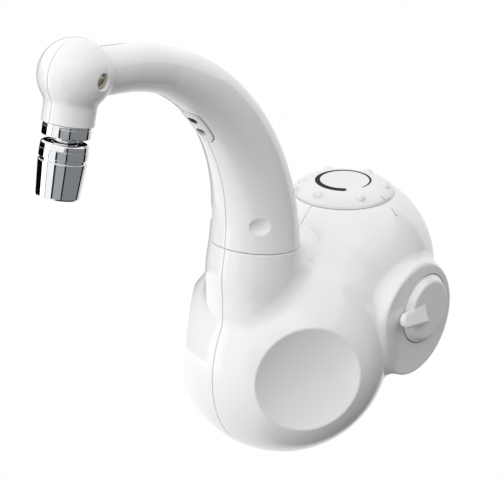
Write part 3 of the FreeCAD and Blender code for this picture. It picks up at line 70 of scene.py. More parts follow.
Array = np.ndarray
Pair = tuple[float, float]
Triple = tuple[float, float, float]
Rows = Sequence[Sequence[float]]
Wall = Callable[[Array], Array]
Piece = bpy.types.Object
Socket = bpy.types.NodeSocket
Tree = bpy.types.NodeTree


# ---------------------------------------------------------------- small helpers

def linear(colour: str) -> tuple[float, float, float, float]:
    """Turn an sRGB hex colour into linear RGBA.

    Args:
        colour: Six hex digits.
    Returns:
        The colour as a shader reads it, with an alpha of 1.
    """
    parts = [int(colour[i:i + 2], 16) / 255 for i in (0, 2, 4)]
    parts = [c / 12.92 if c <= 0.04045 else ((c + 0.055) / 1.055) ** 2.4 for c in parts]
    return parts[0], parts[1], parts[2], 1.0


def add(tree: Tree, kind: str, inputs: dict | None = None, **settings: object) -> bpy.types.Node:
    """Add a node with its settings and inputs.

    Args:
        tree: Where the node goes.
        kind: The node's type name.
        inputs: Values or output sockets by input name or index.
        settings: Properties of the node.
    Returns:
        The node.
    """
    node = tree.nodes.new(kind)
    for key, value in settings.items():
        setattr(node, key, value)
    for key, value in (inputs or {}).items():
        if isinstance(value, Socket):
            tree.links.new(value, node.inputs[key])
        else:
            node.inputs[key].default_value = value
    return node


def unit(vector: Sequence[float]) -> Array:
    """The vector at a length of one."""
    vector = np.asarray(vector, dtype=float)
    return vector / np.linalg.norm(vector)


def turned_by(degrees: float) -> Pair:
    """Cosine and sine of an angle in degrees."""
    return math.cos(math.radians(degrees)), math.sin(math.radians(degrees))


def off_axis(points: Array, axis: Pair) -> Array:
    """Distance from the line along X that passes through a Y and a Z."""
    return np.hypot(points[:, 1] - axis[0], points[:, 2] - axis[1])


def placed(name: str, data: bpy.types.ID) -> Piece:
    """Make an object of its data and link it to the scene."""
    item = bpy.data.objects.new(name, data)
    bpy.context.scene.collection.objects.link(item)
    return item


def cleared(block: bpy.types.ID) -> Tree:
    """Give a material or world an empty node tree."""
    block.use_nodes = True
    block.node_tree.nodes.clear()
    return block.node_tree


def hand_over(piece: Piece, body: str, node: str | None = None) -> None:
    """Give a finished piece its place in the assembly and report it.

    Args:
        piece: The piece.
        body: The body that it rides on.
        node: The node that it stands for, if any.
    """
    if node:
        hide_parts(node)
    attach(piece, body)
    log.info("%s on %s: %d faces", piece.name, body, len(piece.data.polygons))


# ---------------------------------------------------------------- finishes

class Speckle(Enum):
    """Which fine surface pattern a finish carries."""
    MOULDED = "moulded"
    SATIN = "satin"
    TURNED = "turned"
    BRAIDED = "braided"


@dataclass(frozen=True)
class Finish:
    """One real material with the way its surface was made."""
    name: str
    colour: str
    second: str
    roughness: float
    metallic: float = 0.0
    coat: float = 0.0
    ior: float | None = 1.5
    speckle: Speckle = Speckle.MOULDED
    size_mm: float = 2.0
    bump: float = 0.02
    spread: float = 0.02

    def build(self) -> bpy.types.Material:
        """Make the material.

        Returns:
            A material whose colour, roughness and bump come from nodes on Object coordinates.
        """
        material = bpy.data.materials.get(self.name)
        if material:
            return material
        material = bpy.data.materials.new(self.name)
        material.use_nodes = True
        tree = material.node_tree
        shader = tree.nodes["Principled BSDF"]
        uniform = {"Metallic": self.metallic, "Coat Weight": self.coat, "Coat Roughness": COAT_ROUGHNESS,
                   "IOR": self.ior}
        for name, value in uniform.items():
            if value is not None:
                shader.inputs[name].default_value = value
        place = add(tree, "ShaderNodeTexCoord").outputs["Object"]
        pattern = self.pattern(tree, place)
        cloud = add(tree, "ShaderNodeTexNoise", {
            "Vector": place, "Scale": 1 / (CLOUD_MM * MM), "Detail": 2.0})
        tint = add(tree, "ShaderNodeMix", {"Factor": cloud.outputs["Fac"], 6: linear(self.colour),
                                           7: linear(self.second)}, data_type="RGBA")
        rough = add(tree, "ShaderNodeMapRange", {
            "Value": pattern, "To Min": max(self.roughness - self.spread, 0),
            "To Max": self.roughness + self.spread})
        bump = add(tree, "ShaderNodeBump", {
            "Strength": self.bump, "Distance": BUMP_MM * MM, "Height": pattern})
        for name, socket in (("Base Color", tint.outputs[2]), ("Roughness", rough.outputs["Result"]),
                             ("Normal", bump.outputs["Normal"])):
            tree.links.new(socket, shader.inputs[name])
        return material

    def pattern(self, tree: Tree, place: Socket) -> Socket:
        """The fine pattern of the surface, from 0 to 1.

        Args:
            tree: The material's nodes.
            place: Object coordinates.
        Returns:
            The socket that carries the pattern.
        """
        given = {"Vector": place, "Scale": 1 / (self.size_mm * MM)}
        if self.speckle is Speckle.SATIN:
            return add(tree, "ShaderNodeTexVoronoi", given).outputs["Distance"]
        if self.speckle is Speckle.BRAIDED:
            return add(tree, "ShaderNodeTexWave", {**given, "Distortion": 0.4},
                       bands_direction="DIAGONAL").outputs["Fac"]
        detail = 1.0
        if self.speckle is Speckle.TURNED:
            detail = 3.0
            drawn = add(tree, "ShaderNodeMapping", {"Vector": place, "Scale": (0.15, 0.15, 1.0)})
            given["Vector"] = drawn.outputs["Vector"]
        return add(tree, "ShaderNodeTexNoise", {**given, "Detail": detail}).outputs["Fac"]


# High gloss ABS: a deep clean white with long soft waves in the moulding that only the reflections show.
WHITE = Finish("moulded_gloss_abs_white", "F3F4F4", "F0F1F1", 0.15, coat=0.2, size_mm=9.0, bump=0.01)
# The knob is the same plastic from another tool, a shade greyer and with a finer wave.
KNOB_WHITE = Finish("moulded_gloss_abs_knob", "EAEBEB", "E6E7E7", 0.16, coat=0.2, size_mm=5.0, bump=0.015)
# The lever is a small thick moulding: the same white, with a little more sheen at its rounded edges.
LEVER_WHITE = Finish("moulded_gloss_abs_lever", "F4F5F6", "F1F2F3", 0.12, coat=0.3, size_mm=4.0, bump=0.01)
# Sensor cover: white ABS with a satin face, so it stands off its glossy surround by a shade.
WINDOW_WHITE = Finish("moulded_satin_abs_cover", "E9EAEC", "E4E5E8", 0.3, size_mm=3.0)
# Glass-filled nylon, in a cool light grey and in near black: matt and slightly mottled.
PLATE_GREY = Finish("moulded_filled_nylon_grey", "C3C5C9", "B4B6BA", 0.5, speckle=Speckle.SATIN, size_mm=0.8,
                    bump=0.1, spread=0.06)
DARK_NYLON = Finish("moulded_filled_nylon_dark", "33373D", "24282D", 0.45, speckle=Speckle.SATIN, size_mm=0.8,
                    bump=0.12, spread=0.08)
# Acetal: milky, satin, a little waxy.
ACETAL = Finish("moulded_acetal_natural", "D9D9D2", "CFCFC6", 0.35, size_mm=1.2, bump=0.03, spread=0.05)
# Bright chrome over brass: near-white mirror, with a faint polishing haze.
CHROME = Finish("plated_bright_chrome", "EDEEEF", "E8E9EA", 0.035, metallic=1.0, ior=None, size_mm=6.0,
                bump=0.004, spread=0.01)
# Turned brass: yellow with fine rings left by the tool.
BRASS = Finish("turned_brass", "C9A35A", "B78F45", 0.28, metallic=1.0, ior=None, speckle=Speckle.TURNED,
               size_mm=0.35, bump=0.12, spread=0.08)
# Drawn stainless steel: satin grey with short streaks.
STEEL = Finish("drawn_stainless_steel", "A9ABAE", "97999D", 0.32, metallic=1.0, ior=None,
               speckle=Speckle.TURNED, size_mm=0.3, bump=0.08, spread=0.08)
# Zinc plate: a duller metal with a faint yellow cast.
ZINC = Finish("plated_zinc_steel", "D6D0BD", "C2BBA8", 0.38, metallic=1.0, ior=None, size_mm=0.5, bump=0.06,
              spread=0.1)
# Nitrile rubber: dark, soft, slightly dusty.
RUBBER = Finish("moulded_nitrile_rubber", "1C1D1F", "26272A", 0.62, size_mm=0.5, bump=0.1, spread=0.08)
# Silicone hose: milky and waxy, with the faint lines of its drawing.
HOSE = Finish("extruded_silicone_hose", "D3D2CB", "C7C6BE", 0.42, speckle=Speckle.BRAIDED, size_mm=3.0,
              bump=0.04, spread=0.05)
# Glass-epoxy board below a green solder mask: satin, with the cloth just showing through.
BOARD = Finish("solder_masked_glass_epoxy", "14532C", "1C6436", 0.35, speckle=Speckle.BRAIDED, size_mm=1.6,
               bump=0.05, spread=0.06)
# Dark lens plastic with an anti-reflection surface: black from every side, with hardly a highlight.
LENS = Finish("polished_infrared_lens_plastic", "0E0E11", "141318", 0.3, ior=1.08, size_mm=2.0, bump=0.005,
              spread=0.01)
# Varnished copper winding below tape: brown-red with fine turns.
WINDING = Finish("taped_copper_winding", "7A3B22", "8C4A2A", 0.4, speckle=Speckle.TURNED, size_mm=0.6,
                 bump=0.2, spread=0.1)
# Printing ink on the mouldings: matt grey.
INK = Finish("pad_printed_ink", "6C6F74", "797C81", 0.5, size_mm=0.5, bump=0.01)
# Ink of the crescent scale: matt and nearly black, so the thin end still reads as a line.
SCALE_INK = Finish("pad_printed_scale_ink", "141517", "1B1C1E", 0.6, ior=1.3, size_mm=0.5, bump=0.01)

SLOT_FINISHES = {
    "white_abs": WHITE, "knob_abs": KNOB_WHITE, "lever_abs": LEVER_WHITE, "plate_nylon": PLATE_GREY,
    "technical_plastic": DARK_NYLON, "light_technical_plastic": ACETAL, "chrome_plate": CHROME,
    "turned_brass": BRASS, "stainless": STEEL, "zinc_screw": ZINC, "black_rubber": RUBBER,
    "hose_silicone": HOSE, "circuit_board": BOARD, "sensor_black": LENS, "coil_winding": WINDING,
}


# ---------------------------------------------------------------- moulded forms

def rounded_union(first: Array, second: Array, radius: float) -> Array:
    """Join two forms with a hollow round between them."""
    corner = np.hypot(np.maximum(radius - first, 0), np.maximum(radius - second, 0))
    return np.maximum(radius, np.minimum(first, second)) - corner


def rounded_cut(first: Array, second: Array, radius: float) -> Array:
    """Keep what two forms share, with a rounded edge where they meet."""
    corner = np.hypot(np.maximum(radius + first, 0), np.maximum(radius + second, 0))
    return np.minimum(-radius, np.maximum(first, second)) + corner


def slope(wall: Wall, points: Array) -> Array:
    """The direction in which a wall's distance grows.

    Args:
        wall: Signed distance in millimetres, negative inside.
        points: Rows of X, Y and Z.
    Returns:
        One row for each point.
    """
    step = 0.01
    rows = [wall(points + shift) - wall(points - shift) for shift in np.eye(3) * step]
    return np.stack(rows, axis=-1) / (2 * step)


@dataclass
class Skin:
    """Corners, four-sided faces and the normal of each face corner."""
    corners: Array
    faces: Array
    normals: Array


@dataclass
class Mould:
    """A solid bounded by several walls, each a signed distance, filled where all are negative."""
    walls: list[Wall]
    axes: tuple[Array, Array, Array]

    def cast(self) -> Skin:
        """Find the solid's surface, with crisp edges where two walls meet.

        Returns:
            The closed surface in millimetres.
        """
        counts = [len(axis) for axis in self.axes]
        lattice = np.stack(np.meshgrid(*self.axes, indexing="ij"), axis=-1)
        flat = lattice.reshape(-1, 3)
        values = np.stack([wall(flat) for wall in self.walls], axis=-1).reshape(*counts, -1)
        inside = values.max(-1) < 0
        quads, quad_walls, spots = [], [], []
        for axis in range(3):
            step = np.eye(3, dtype=int)[axis]
            lower = tuple(slice(None, -1) if a == axis else slice(None) for a in range(3))
            upper = tuple(slice(1, None) if a == axis else slice(None) for a in range(3))
            cross = np.argwhere(inside[lower] != inside[upper])
            here, there = values[tuple(cross.T)], values[tuple((cross + step).T)]
            level, beyond = here.max(-1), there.max(-1)
            share = (level / (level - beyond))[:, None]
            start, finish = lattice[tuple(cross.T)], lattice[tuple((cross + step).T)]
            spots.append(start + share * (finish - start))
            quad_walls.append((here + share * (there - here)).argmax(-1))
            one, two = np.eye(3, dtype=int)[(axis + 1) % 3], np.eye(3, dtype=int)[(axis + 2) % 3]
            ring = np.stack([cross, cross - one, cross - one - two, cross - two], axis=1)
            ring[level >= 0] = ring[level >= 0][:, ::-1]
            quads.append(ring)
        quads, quad_walls, spots = np.concatenate(quads), np.concatenate(quad_walls), np.concatenate(spots)
        keys = np.ravel_multi_index(quads.reshape(-1, 3).T, counts)
        cells, index = np.unique(keys, return_inverse=True)
        faces = index.reshape(-1, 4)
        active = np.zeros((len(cells), len(self.walls)), dtype=bool)
        active[faces.ravel(), np.repeat(quad_walls, 4)] = True
        share = np.bincount(faces.ravel(), minlength=len(cells))[:, None]
        corners = np.stack([np.bincount(faces.ravel(), np.repeat(spots[:, k], 4), len(cells))
                            for k in range(3)], axis=-1) / share
        corners = self.settle(corners, active, np.stack(np.unravel_index(cells, counts), axis=-1))
        normals = np.zeros((len(faces), 4, 3))
        for number, wall in enumerate(self.walls):
            rows = quad_walls == number
            if rows.any():
                used, back = np.unique(faces[rows], return_inverse=True)
                lean = slope(wall, corners[used])
                lean /= np.linalg.norm(lean, axis=-1, keepdims=True) + TINY
                normals[rows] = lean[back.ravel()].reshape(-1, 4, 3)
        return Skin(corners, faces, normals.reshape(-1, 3))

    def settle(self, corners: Array, active: Array, cells: Array) -> Array:
        """Move each corner onto every wall that passes through its cell.

        Args:
            corners: First guesses.
            active: Which walls each corner lies on.
            cells: The grid cell of each corner.
        Returns:
            The corners on their walls.
        """
        rounds, slack, firm = 5, 0.35, 1e-3
        low, high = (np.stack([self.axes[k][cells[:, k] + end] for k in range(3)], axis=-1) for end in (0, 1))
        spare = slack * (high - low)
        for _ in range(rounds):
            gap = np.zeros(active.shape)
            lean = np.zeros((*active.shape, 3))
            for number, wall in enumerate(self.walls):
                rows = active[:, number]
                gap[rows, number] = wall(corners[rows])
                lean[rows, number] = slope(wall, corners[rows])
            spread = lean @ lean.transpose(0, 2, 1)
            spread += np.eye(len(self.walls)) * np.where(active, firm, 1.0)[:, None, :]
            pull = np.linalg.solve(spread, gap[:, :, None])
            corners = corners - (lean.transpose(0, 2, 1) @ pull)[:, :, 0]
            corners = np.clip(corners, low - spare, high + spare)
        return corners


def grid(box: Rows, pitch: float, seam: Sequence[float] = ()) -> tuple[Array, Array, Array]:
    """Set out the grid planes that a mould is cast on.

    Args:
        box: Lowest and highest X, Y and Z.
        pitch: Distance between planes.
        seam: Closer planes that take the place of the first ones along X.
    Returns:
        The planes along each axis.
    """
    starts = seam[-1] + pitch if seam else box[0][0], box[1][0], box[2][0]
    x, y, z = (np.arange(start, high + pitch, pitch) + OFF_GRID * pitch
               for start, (_, high) in zip(starts, box))
    return np.concatenate([seam, x]), y, z


def seam_walls(skin: Wall, split: float, groove: float) -> list[Wall]:
    """The flat where two half shells meet, and the bevel that makes the line between them.

    Args:
        skin: The outside.
        split: Half of the gap between the halves.
        groove: Depth of the bevel.
    Returns:
        Both walls.
    """
    return [lambda p: split - p[:, 0], lambda p: (skin(p) + split - p[:, 0] + groove) * BEVEL]


def mirrored(skin: Skin) -> Skin:
    """The same surface on the other side of the middle plane."""
    flip = np.array([-1.0, 1.0, 1.0])
    normals = (skin.normals * flip).reshape(-1, 4, 3)[:, ::-1].reshape(-1, 3)
    return Skin(skin.corners * flip, skin.faces[:, ::-1], normals)


def to_object(name: str, corners: Array, faces: Rows | Array, finish: Finish,
              normals: Array | None = None) -> Piece:
    """Make a Blender object from millimetre corners.

    Args:
        name: The piece's name.
        corners: Rows of X, Y and Z in millimetres, in the assembly's frame.
        faces: Corner numbers of each face, facing outwards.
        finish: What it is made of.
        normals: One row for each face corner, where the shape gives them.
    Returns:
        The object, linked to the scene.
    """
    mesh = bpy.data.meshes.new(name)
    mesh.from_pydata((corners * MM).tolist(), [], faces.tolist() if isinstance(faces, Array) else faces)
    mesh.shade_smooth()
    if normals is not None:
        mesh.normals_split_custom_set(normals.tolist())
    else:
        mesh.set_sharp_from_angle(angle=SMOOTH_ANGLE)
    mesh.materials.append(finish.build())
    return placed(name, mesh)


def from_skin(name: str, skin: Skin, finish: Finish) -> Piece:
    """Make a Blender object from a cast surface."""
    return to_object(name, skin.corners, skin.faces, finish, skin.normals)


def cast_halves(part: str, walls: list[Wall], own: dict[str, Wall], axes: tuple[Array, Array, Array]) -> None:
    """Cast both halves of a moulded shell and let them stand for their nodes.

    Args:
        part: The shell's body, which also begins the names of its pieces and nodes.
        walls: What both halves have, as it lies in the right one.
        own: What only the right or the left half has, the left one's before it is mirrored.
        axes: Grid planes.
    """
    for side in ("right", "left"):
        skin = Mould(walls + [own[side]] if side in own else walls, axes).cast()
        piece = from_skin(f"{part}_moulding_{side}", skin if side == "right" else mirrored(skin), WHITE)
        hand_over(piece, part, f"{part}_shell_{side}")


# ---------------------------------------------------------------- turned forms

@dataclass(frozen=True)
class Placing:
    """Where a turned piece stands: its origin in millimetres and its own axes in the frame."""
    origin: Triple
    axis: Triple

    def apply(self, points: Array) -> Array:
        """Carry points from the piece's own axes into the frame.

        Args:
            points: Rows whose third number runs along the piece's axis.
        Returns:
            The same points in the frame.
        """
        along = unit(self.axis)
        side = unit(np.cross(along, (1.0, 0, 0) if abs(along[0]) < 0.9 else (0, 1.0, 0)))
        return np.asarray(self.origin) + points @ np.stack([np.cross(side, along), side, along])


def rounded_outline(rows: Rows, steps: int = 4) -> list[Pair]:
    """Replace the corners of a closed outline by small arcs.

    Args:
        rows: Radius, height and corner round of each corner.
        steps: Parts of each arc.
    Returns:
        The outline's points.
    """
    points: list[Pair] = []
    for i, (r, h, rounding) in enumerate(rows):
        here = np.array([r, h])
        if rounding <= 0:
            points.append((r, h))
            continue
        before, after = (np.array(rows[(i + step) % len(rows)][:2]) - here for step in (-1, 1))
        long_before, long_after = np.linalg.norm(before), np.linalg.norm(after)
        before, after = before / long_before, after / long_after
        half = math.acos(float(np.clip(before @ after, -1, 1))) / 2
        trim = min(rounding / math.tan(half), 0.48 * long_before, 0.48 * long_after)
        radius = trim * math.tan(half)
        centre = here + (before + after) / np.linalg.norm(before + after) * (radius / math.sin(half))
        start, finish = here + before * trim - centre, here + after * trim - centre
        turn = math.atan2(start[0] * finish[1] - start[1] * finish[0], float(start @ finish))
        for k in range(steps + 1):
            cos, sin = math.cos(turn * k / steps), math.sin(turn * k / steps)
            spot = centre + np.array([start[0] * cos - start[1] * sin, start[0] * sin + start[1] * cos])
            points.append((float(spot[0]), float(spot[1])))
    return points


def lathe(name: str, outline: Sequence[Pair], placing: Placing, finish: Finish,
          segments: int = 128) -> Piece:
    """Turn a closed outline about its axis.

    Args:
        name: The piece's name.
        outline: Radius and height of each point, counter-clockwise with the radius to the right.
        placing: Where its axis stands.
        finish: What it is made of.
        segments: Steps round the axis.
    Returns:
        The closed turned piece.
    """
    angles = np.arange(segments) * 2 * math.pi / segments
    corners: list[Triple] = []
    rings: list[list[int]] = []
    for radius, height in outline:
        if radius < 1e-6:
            rings.append([len(corners)] * segments)
            corners.append((0.0, 0.0, height))
        else:
            rings.append(list(range(len(corners), len(corners) + segments)))
            corners.extend((radius * math.cos(a), radius * math.sin(a), height) for a in angles)
    leans = outline_normals(outline)
    faces, normals = [], []
    for row, (lower, upper) in enumerate(zip(rings, rings[1:] + rings[:1])):
        for k in range(segments):
            nxt = (k + 1) % segments
            face = {}
            for ring, step, end in ((lower, k, 0), (lower, nxt, 0), (upper, nxt, 1), (upper, k, 1)):
                (out, rise), angle = leans[row][end], angles[step]
                face.setdefault(ring[step], (out * math.cos(angle), out * math.sin(angle), rise))
            if len(face) > 2:
                faces.append(list(face))
                normals.extend(face.values())
    turned = Placing((0.0, 0.0, 0.0), placing.axis).apply(np.array(normals))
    return to_object(name, placing.apply(np.array(corners)), faces, finish, turned)


def outline_normals(outline: Sequence[Pair]) -> list[tuple[Array, Array]]:
    """Normals at both ends of each side of an outline, shared where two sides meet smoothly.

    Args:
        outline: Radius and height of each point.
    Returns:
        For each side, its normal at its start and at its end.
    """
    points = np.array(outline)
    sides = np.roll(points, -1, axis=0) - points
    flat = np.stack([sides[:, 1], -sides[:, 0]], axis=-1)
    plain = flat / (np.linalg.norm(flat, axis=-1, keepdims=True) + TINY)
    smooth = (plain * np.roll(plain, 1, axis=0)).sum(-1) > SMOOTH_COS
    shared = flat + np.roll(flat, 1, axis=0)
    shared = shared / (np.linalg.norm(shared, axis=-1, keepdims=True) + TINY)
    starts = np.where(smooth[:, None], shared, plain)
    ends = np.where(np.roll(smooth, -1)[:, None], np.roll(shared, -1, axis=0), plain)
    return list(zip(starts, ends))


# ---------------------------------------------------------------- the moulded body

@dataclass
class Swivel:
    """The line on which the spout turns."""
    reach: float = 121.0
    rise: float = 46.5
    lean: float = 7.5
    radius: float = 25.5
    gap: float = 0.25

    def height(self, points: Array) -> Array:
        """Height of points over the swivel's plane."""
        cos, sin = turned_by(self.lean)
        return (points[:, 1] + self.reach) * sin + (points[:, 2] - self.rise) * cos


@dataclass
class BodyForm:
    """Bulb, lobe and neck as one smooth skin."""
    swivel: Swivel
    bulb: Pair = (-95.5, -27.7)
    bulb_radius: float = 62.0
    lobe: Pair = (-40.0, 6.2)
    lobe_radius: float = 54.5
    waist_round: float = 28.0
    shoulder_round: float = 16.0
    neck_flare: float = 0.075
    neck_sink: float = 62.0
    neck_settle: float = 0.00155
    settle_from: float = 14.0
    lean_start: float = 5.0
    lean_end: float = 28.0
    roll_depth: float = 5.0
    roll_lowest: float = -45.0
    dish_radius: float = 30.5
    dish_depth: float = 6.0
    dish_turn: float = 54.5
    dish_lift: float = 4.2
    dish_edge: float = 0.45

    def core(self, points: Array) -> tuple[Array, Array]:
        """Distance and direction to bulb and lobe with the hollow round between them."""
        start = np.array([0.0, *self.bulb])
        along = np.array([0.0, self.lobe[0] - self.bulb[0], self.lobe[1] - self.bulb[1]])
        span = float(np.linalg.norm(along))
        along = along / span
        out, inn = self.bulb_radius + self.waist_round, self.lobe_radius + self.waist_round
        side = (span ** 2 + out ** 2 - inn ** 2) / (2 * span)
        height = math.sqrt(out ** 2 - side ** 2)
        offset = points - start
        s = offset @ along
        away = offset - s[:, None] * along
        rho = np.linalg.norm(away, axis=-1) + TINY
        away = away / rho[:, None]
        bulb_gap, lobe_gap = np.hypot(s, rho) + TINY, np.hypot(s - span, rho) + TINY
        hollow_gap = np.hypot(s - side, rho - height) + TINY
        hollow = (height * s - side * rho > 0) & ((side - span) * rho - height * (s - span) > 0)
        near_bulb = bulb_gap - self.bulb_radius < lobe_gap - self.lobe_radius
        value = np.where(near_bulb, bulb_gap - self.bulb_radius, lobe_gap - self.lobe_radius)
        ds = np.where(near_bulb, s / bulb_gap, (s - span) / lobe_gap)
        dr = rho / np.where(near_bulb, bulb_gap, lobe_gap)
        value = np.where(hollow, self.waist_round - hollow_gap, value)
        ds = np.where(hollow, (side - s) / hollow_gap, ds)
        dr = np.where(hollow, (height - rho) / hollow_gap, dr)
        return value, ds[:, None] * along + dr[:, None] * away

    def neck_side(self, points: Array) -> tuple[Array, Array]:
        """Distance and direction to the gently flared side of the neck."""
        cos, _ = turned_by(self.swivel.lean)
        down = self.swivel.rise - points[:, 2]
        share = np.clip((down - self.lean_start) / (self.lean_end - self.lean_start), 0, 1)
        fade = 1 - share ** 2 * (3 - 2 * share)
        drift = -np.minimum(down, self.lean_end) * math.tan(math.radians(self.swivel.lean)) * fade
        squeeze = 1 + (cos - 1) * fade
        dy = (points[:, 1] + self.swivel.reach - drift) * squeeze
        gap = np.hypot(points[:, 0], dy) + TINY
        grown = self.neck_flare * down - self.neck_settle * np.maximum(down - self.settle_from, 0) ** 2
        value = np.maximum(gap - self.swivel.radius - grown, down - self.neck_sink)
        return value, np.stack([points[:, 0] / gap, dy / gap, np.full(len(points), self.neck_flare)], axis=-1)

    def neck(self, points: Array) -> tuple[Array, Array]:
        """Distance and direction to the neck, whose upper edge is the swivel line."""
        cos, sin = turned_by(self.swivel.lean)
        value, lean = self.neck_side(points)
        top = self.swivel.height(points) + self.swivel.gap
        over = (value > 0) & (top > 0)
        edge = np.hypot(value, top) + TINY
        past_edge = (value[:, None] * lean + top[:, None] * np.array([0.0, sin, cos])) / edge[:, None]
        return np.where(over, edge, value), np.where(over[:, None], past_edge, lean)

    def shoulder(self, points: Array) -> Array:
        """Neck and core joined by a rolling hollow round."""
        first, second = self.core(points)[0], self.neck(points)[0]
        value = np.minimum(first, second)
        radius, rounds, stride = self.shoulder_round, 4, 20.0
        band = (first < radius) & (second < radius) & (value > -self.roll_depth)
        band &= points[:, 2] > self.roll_lowest
        if not band.any():
            return value
        start = points[band]
        centre = start
        for turn in range(rounds + 1):
            a, na = self.core(centre)
            b, nb = self.neck(centre)
            c = np.clip((na * nb).sum(-1), -0.999, 0.999)
            if turn < rounds:
                ga, gb = radius - a, radius - b
                alpha, beta = (ga - c * gb) / (1 - c ** 2), (gb - c * ga) / (1 - c ** 2)
                move = alpha[:, None] * na + beta[:, None] * nb
                size = np.linalg.norm(move, axis=-1, keepdims=True) + TINY
                centre = centre + move * np.minimum(1, stride / size)
        toward = centre - start
        ga, gb = (toward * na).sum(-1), (toward * nb).sum(-1)
        wedge = (ga - c * gb > 0) & (gb - c * ga > 0)
        value[band] = np.where(wedge, radius - np.linalg.norm(toward, axis=-1), value[band])
        return value

    def dish(self, points: Array) -> Array:
        """Distance to the ball that hollows the grip dish on the right."""
        cos_turn, sin_turn = turned_by(self.dish_turn)
        cos_lift, sin_lift = turned_by(self.dish_lift)
        out = np.array([sin_turn * cos_lift, -cos_turn * cos_lift, sin_lift])
        ball = (self.dish_radius ** 2 + self.dish_depth ** 2) / (2 * self.dish_depth)
        rim = math.sqrt(self.bulb_radius ** 2 - self.dish_radius ** 2)
        centre = np.array([0.0, *self.bulb]) + out * (rim - self.dish_depth + ball)
        return np.linalg.norm(points - centre, axis=-1) - ball

    def skin(self, points: Array) -> Array:
        """The whole outside of the right half."""
        return rounded_cut(self.shoulder(points), -self.dish(points), self.dish_edge)


@dataclass
class BodyShells:
    """The two moulded halves of the body."""
    form: BodyForm
    wall: float = 2.8
    back: float = 4.0
    knob_seat: float = 51.5
    knob_seat_reach: float = 71.3
    split: float = 0.12
    groove: float = 0.3
    pitch: float = 1.15
    box: Rows = ((0, 64), (-160, -2), (-92, 54))
    seam: tuple[float, ...] = (-0.4, 0.02, 0.22, 0.42, 0.75)
    neck_margin: float = 2.0
    knob_reach: float = 40.0
    bush_hole: float = 4.9
    inlet_hole: float = 10.78
    cable_hole: float = 6.0
    cable_rise: float = 23.0
    back_hole_depth: float = 12.0
    bush_low: float = 40.0
    stem_from: float = 20.0
    post_pitch: float = 18.0
    post_radius: float = 3.2
    post_drop: float = 15.0

    def knob_plane(self, points: Array) -> Array:
        """The flat below the knob."""
        return np.minimum(points[:, 2] - self.knob_seat, points[:, 1] + self.knob_seat_reach)

    def neck_top(self, points: Array) -> Array:
        """The swivel line, which cuts only the neck."""
        level = self.form.swivel.height(points) + self.form.swivel.gap
        return np.minimum(level, self.neck_margin - self.form.neck_side(points)[0])

    def inside(self, points: Array) -> Array:
        """The hollow, less the posts that carry the circuit board."""
        hollow = np.maximum(self.form.skin(points), self.knob_plane(points)) + self.wall
        hollow = np.maximum(hollow, points[:, 1] + self.back + self.wall)
        across = np.abs(points[:, 0]) - self.post_pitch
        along = np.abs(points[:, 1] + self.knob_reach) - self.post_pitch
        post = np.maximum(np.hypot(across, along) - self.post_radius,
                          self.knob_seat - self.post_drop - points[:, 2])
        return np.minimum(-hollow, post)

    def holes(self, points: Array) -> Array:
        """Bush, inlet and cable holes."""
        x, y, z = points.T
        bush = np.minimum(self.bush_hole - np.hypot(x, y + self.knob_reach), z - self.bush_low)
        inlet, cable = self.inlet_hole - np.hypot(x, z), self.cable_hole - np.hypot(x, z - self.cable_rise)
        return np.maximum(bush, np.minimum(np.maximum(inlet, cable), y + self.back_hole_depth))

    def stem_way(self, points: Array) -> Array:
        """The lever stem's hole, which only the right half has."""
        return np.minimum(STEM_HOLE - off_axis(points, LEVER_AXIS), points[:, 0] - self.stem_from)

    def dress(self) -> None:
        """Cast both halves and let them stand for their nodes."""
        plain = [self.form.skin, self.knob_plane, self.neck_top, lambda p: p[:, 1] + self.back,
                 *seam_walls(self.form.skin, self.split, self.groove), self.inside, self.holes]
        cast_halves("body", plain, {"right": self.stem_way}, grid(self.box, self.pitch, self.seam))


@dataclass
class SideDrum:
    """The round drum that stands out of the right side."""
    form: BodyForm
    axis: Pair = (-41.5, -14.0)
    radius: float = 34.0
    face: float = 57.0
    root: float = 12.0
    back: float = 4.0
    sunk: float = 1.5
    edge: float = 1.8
    foot_round: float = 7.0
    foot_depth: float = 0.08
    foot_reach: float = 1.05
    wall: float = 2.8
    seat: Pair = (20.2, 21.2)
    seat_depth: float = 1.6
    pitch: float = 0.62
    box: Rows = ((10, 63), (-90, -2), (-63, 35))

    def side(self, points: Array) -> Array:
        """Distance to the drum's round side."""
        return off_axis(points, self.axis) - self.radius

    def barrel(self, points: Array) -> Array:
        """Outside of the drum with its rounded edge and the hollow round at its foot."""
        barrel = rounded_cut(self.side(points), points[:, 0] - self.face, self.edge)
        joined = rounded_union(barrel, self.form.shoulder(points) + self.foot_depth, self.foot_round)
        return np.maximum(joined, barrel - self.foot_reach * self.foot_round)

    def seat_ring(self, points: Array) -> Array:
        """Narrow groove in the face round the lever's disc."""
        gap = off_axis(points, LEVER_AXIS)
        ring = np.minimum(gap - self.seat[0], self.seat[1] - gap)
        return np.minimum(ring, points[:, 0] - self.face + self.seat_depth)

    def inside(self, points: Array) -> Array:
        """Hollow of the drum."""
        return -np.maximum(self.side(points), points[:, 0] - self.face) - self.wall

    def dress(self) -> None:
        """Cast the drum and let it stand for its node."""
        walls = [
            self.barrel, self.inside, self.seat_ring,
            lambda p: -self.form.shoulder(p) - self.sunk,
            lambda p: self.root - p[:, 0],
            lambda p: p[:, 1] + self.back,
            lambda p: STEM_HOLE - off_axis(p, LEVER_AXIS),
        ]
        piece = from_skin("side_drum_moulding", Mould(walls, grid(self.box, self.pitch)).cast(), WHITE)
        hand_over(piece, "body", "side_drum")


# ---------------------------------------------------------------- knob and lever

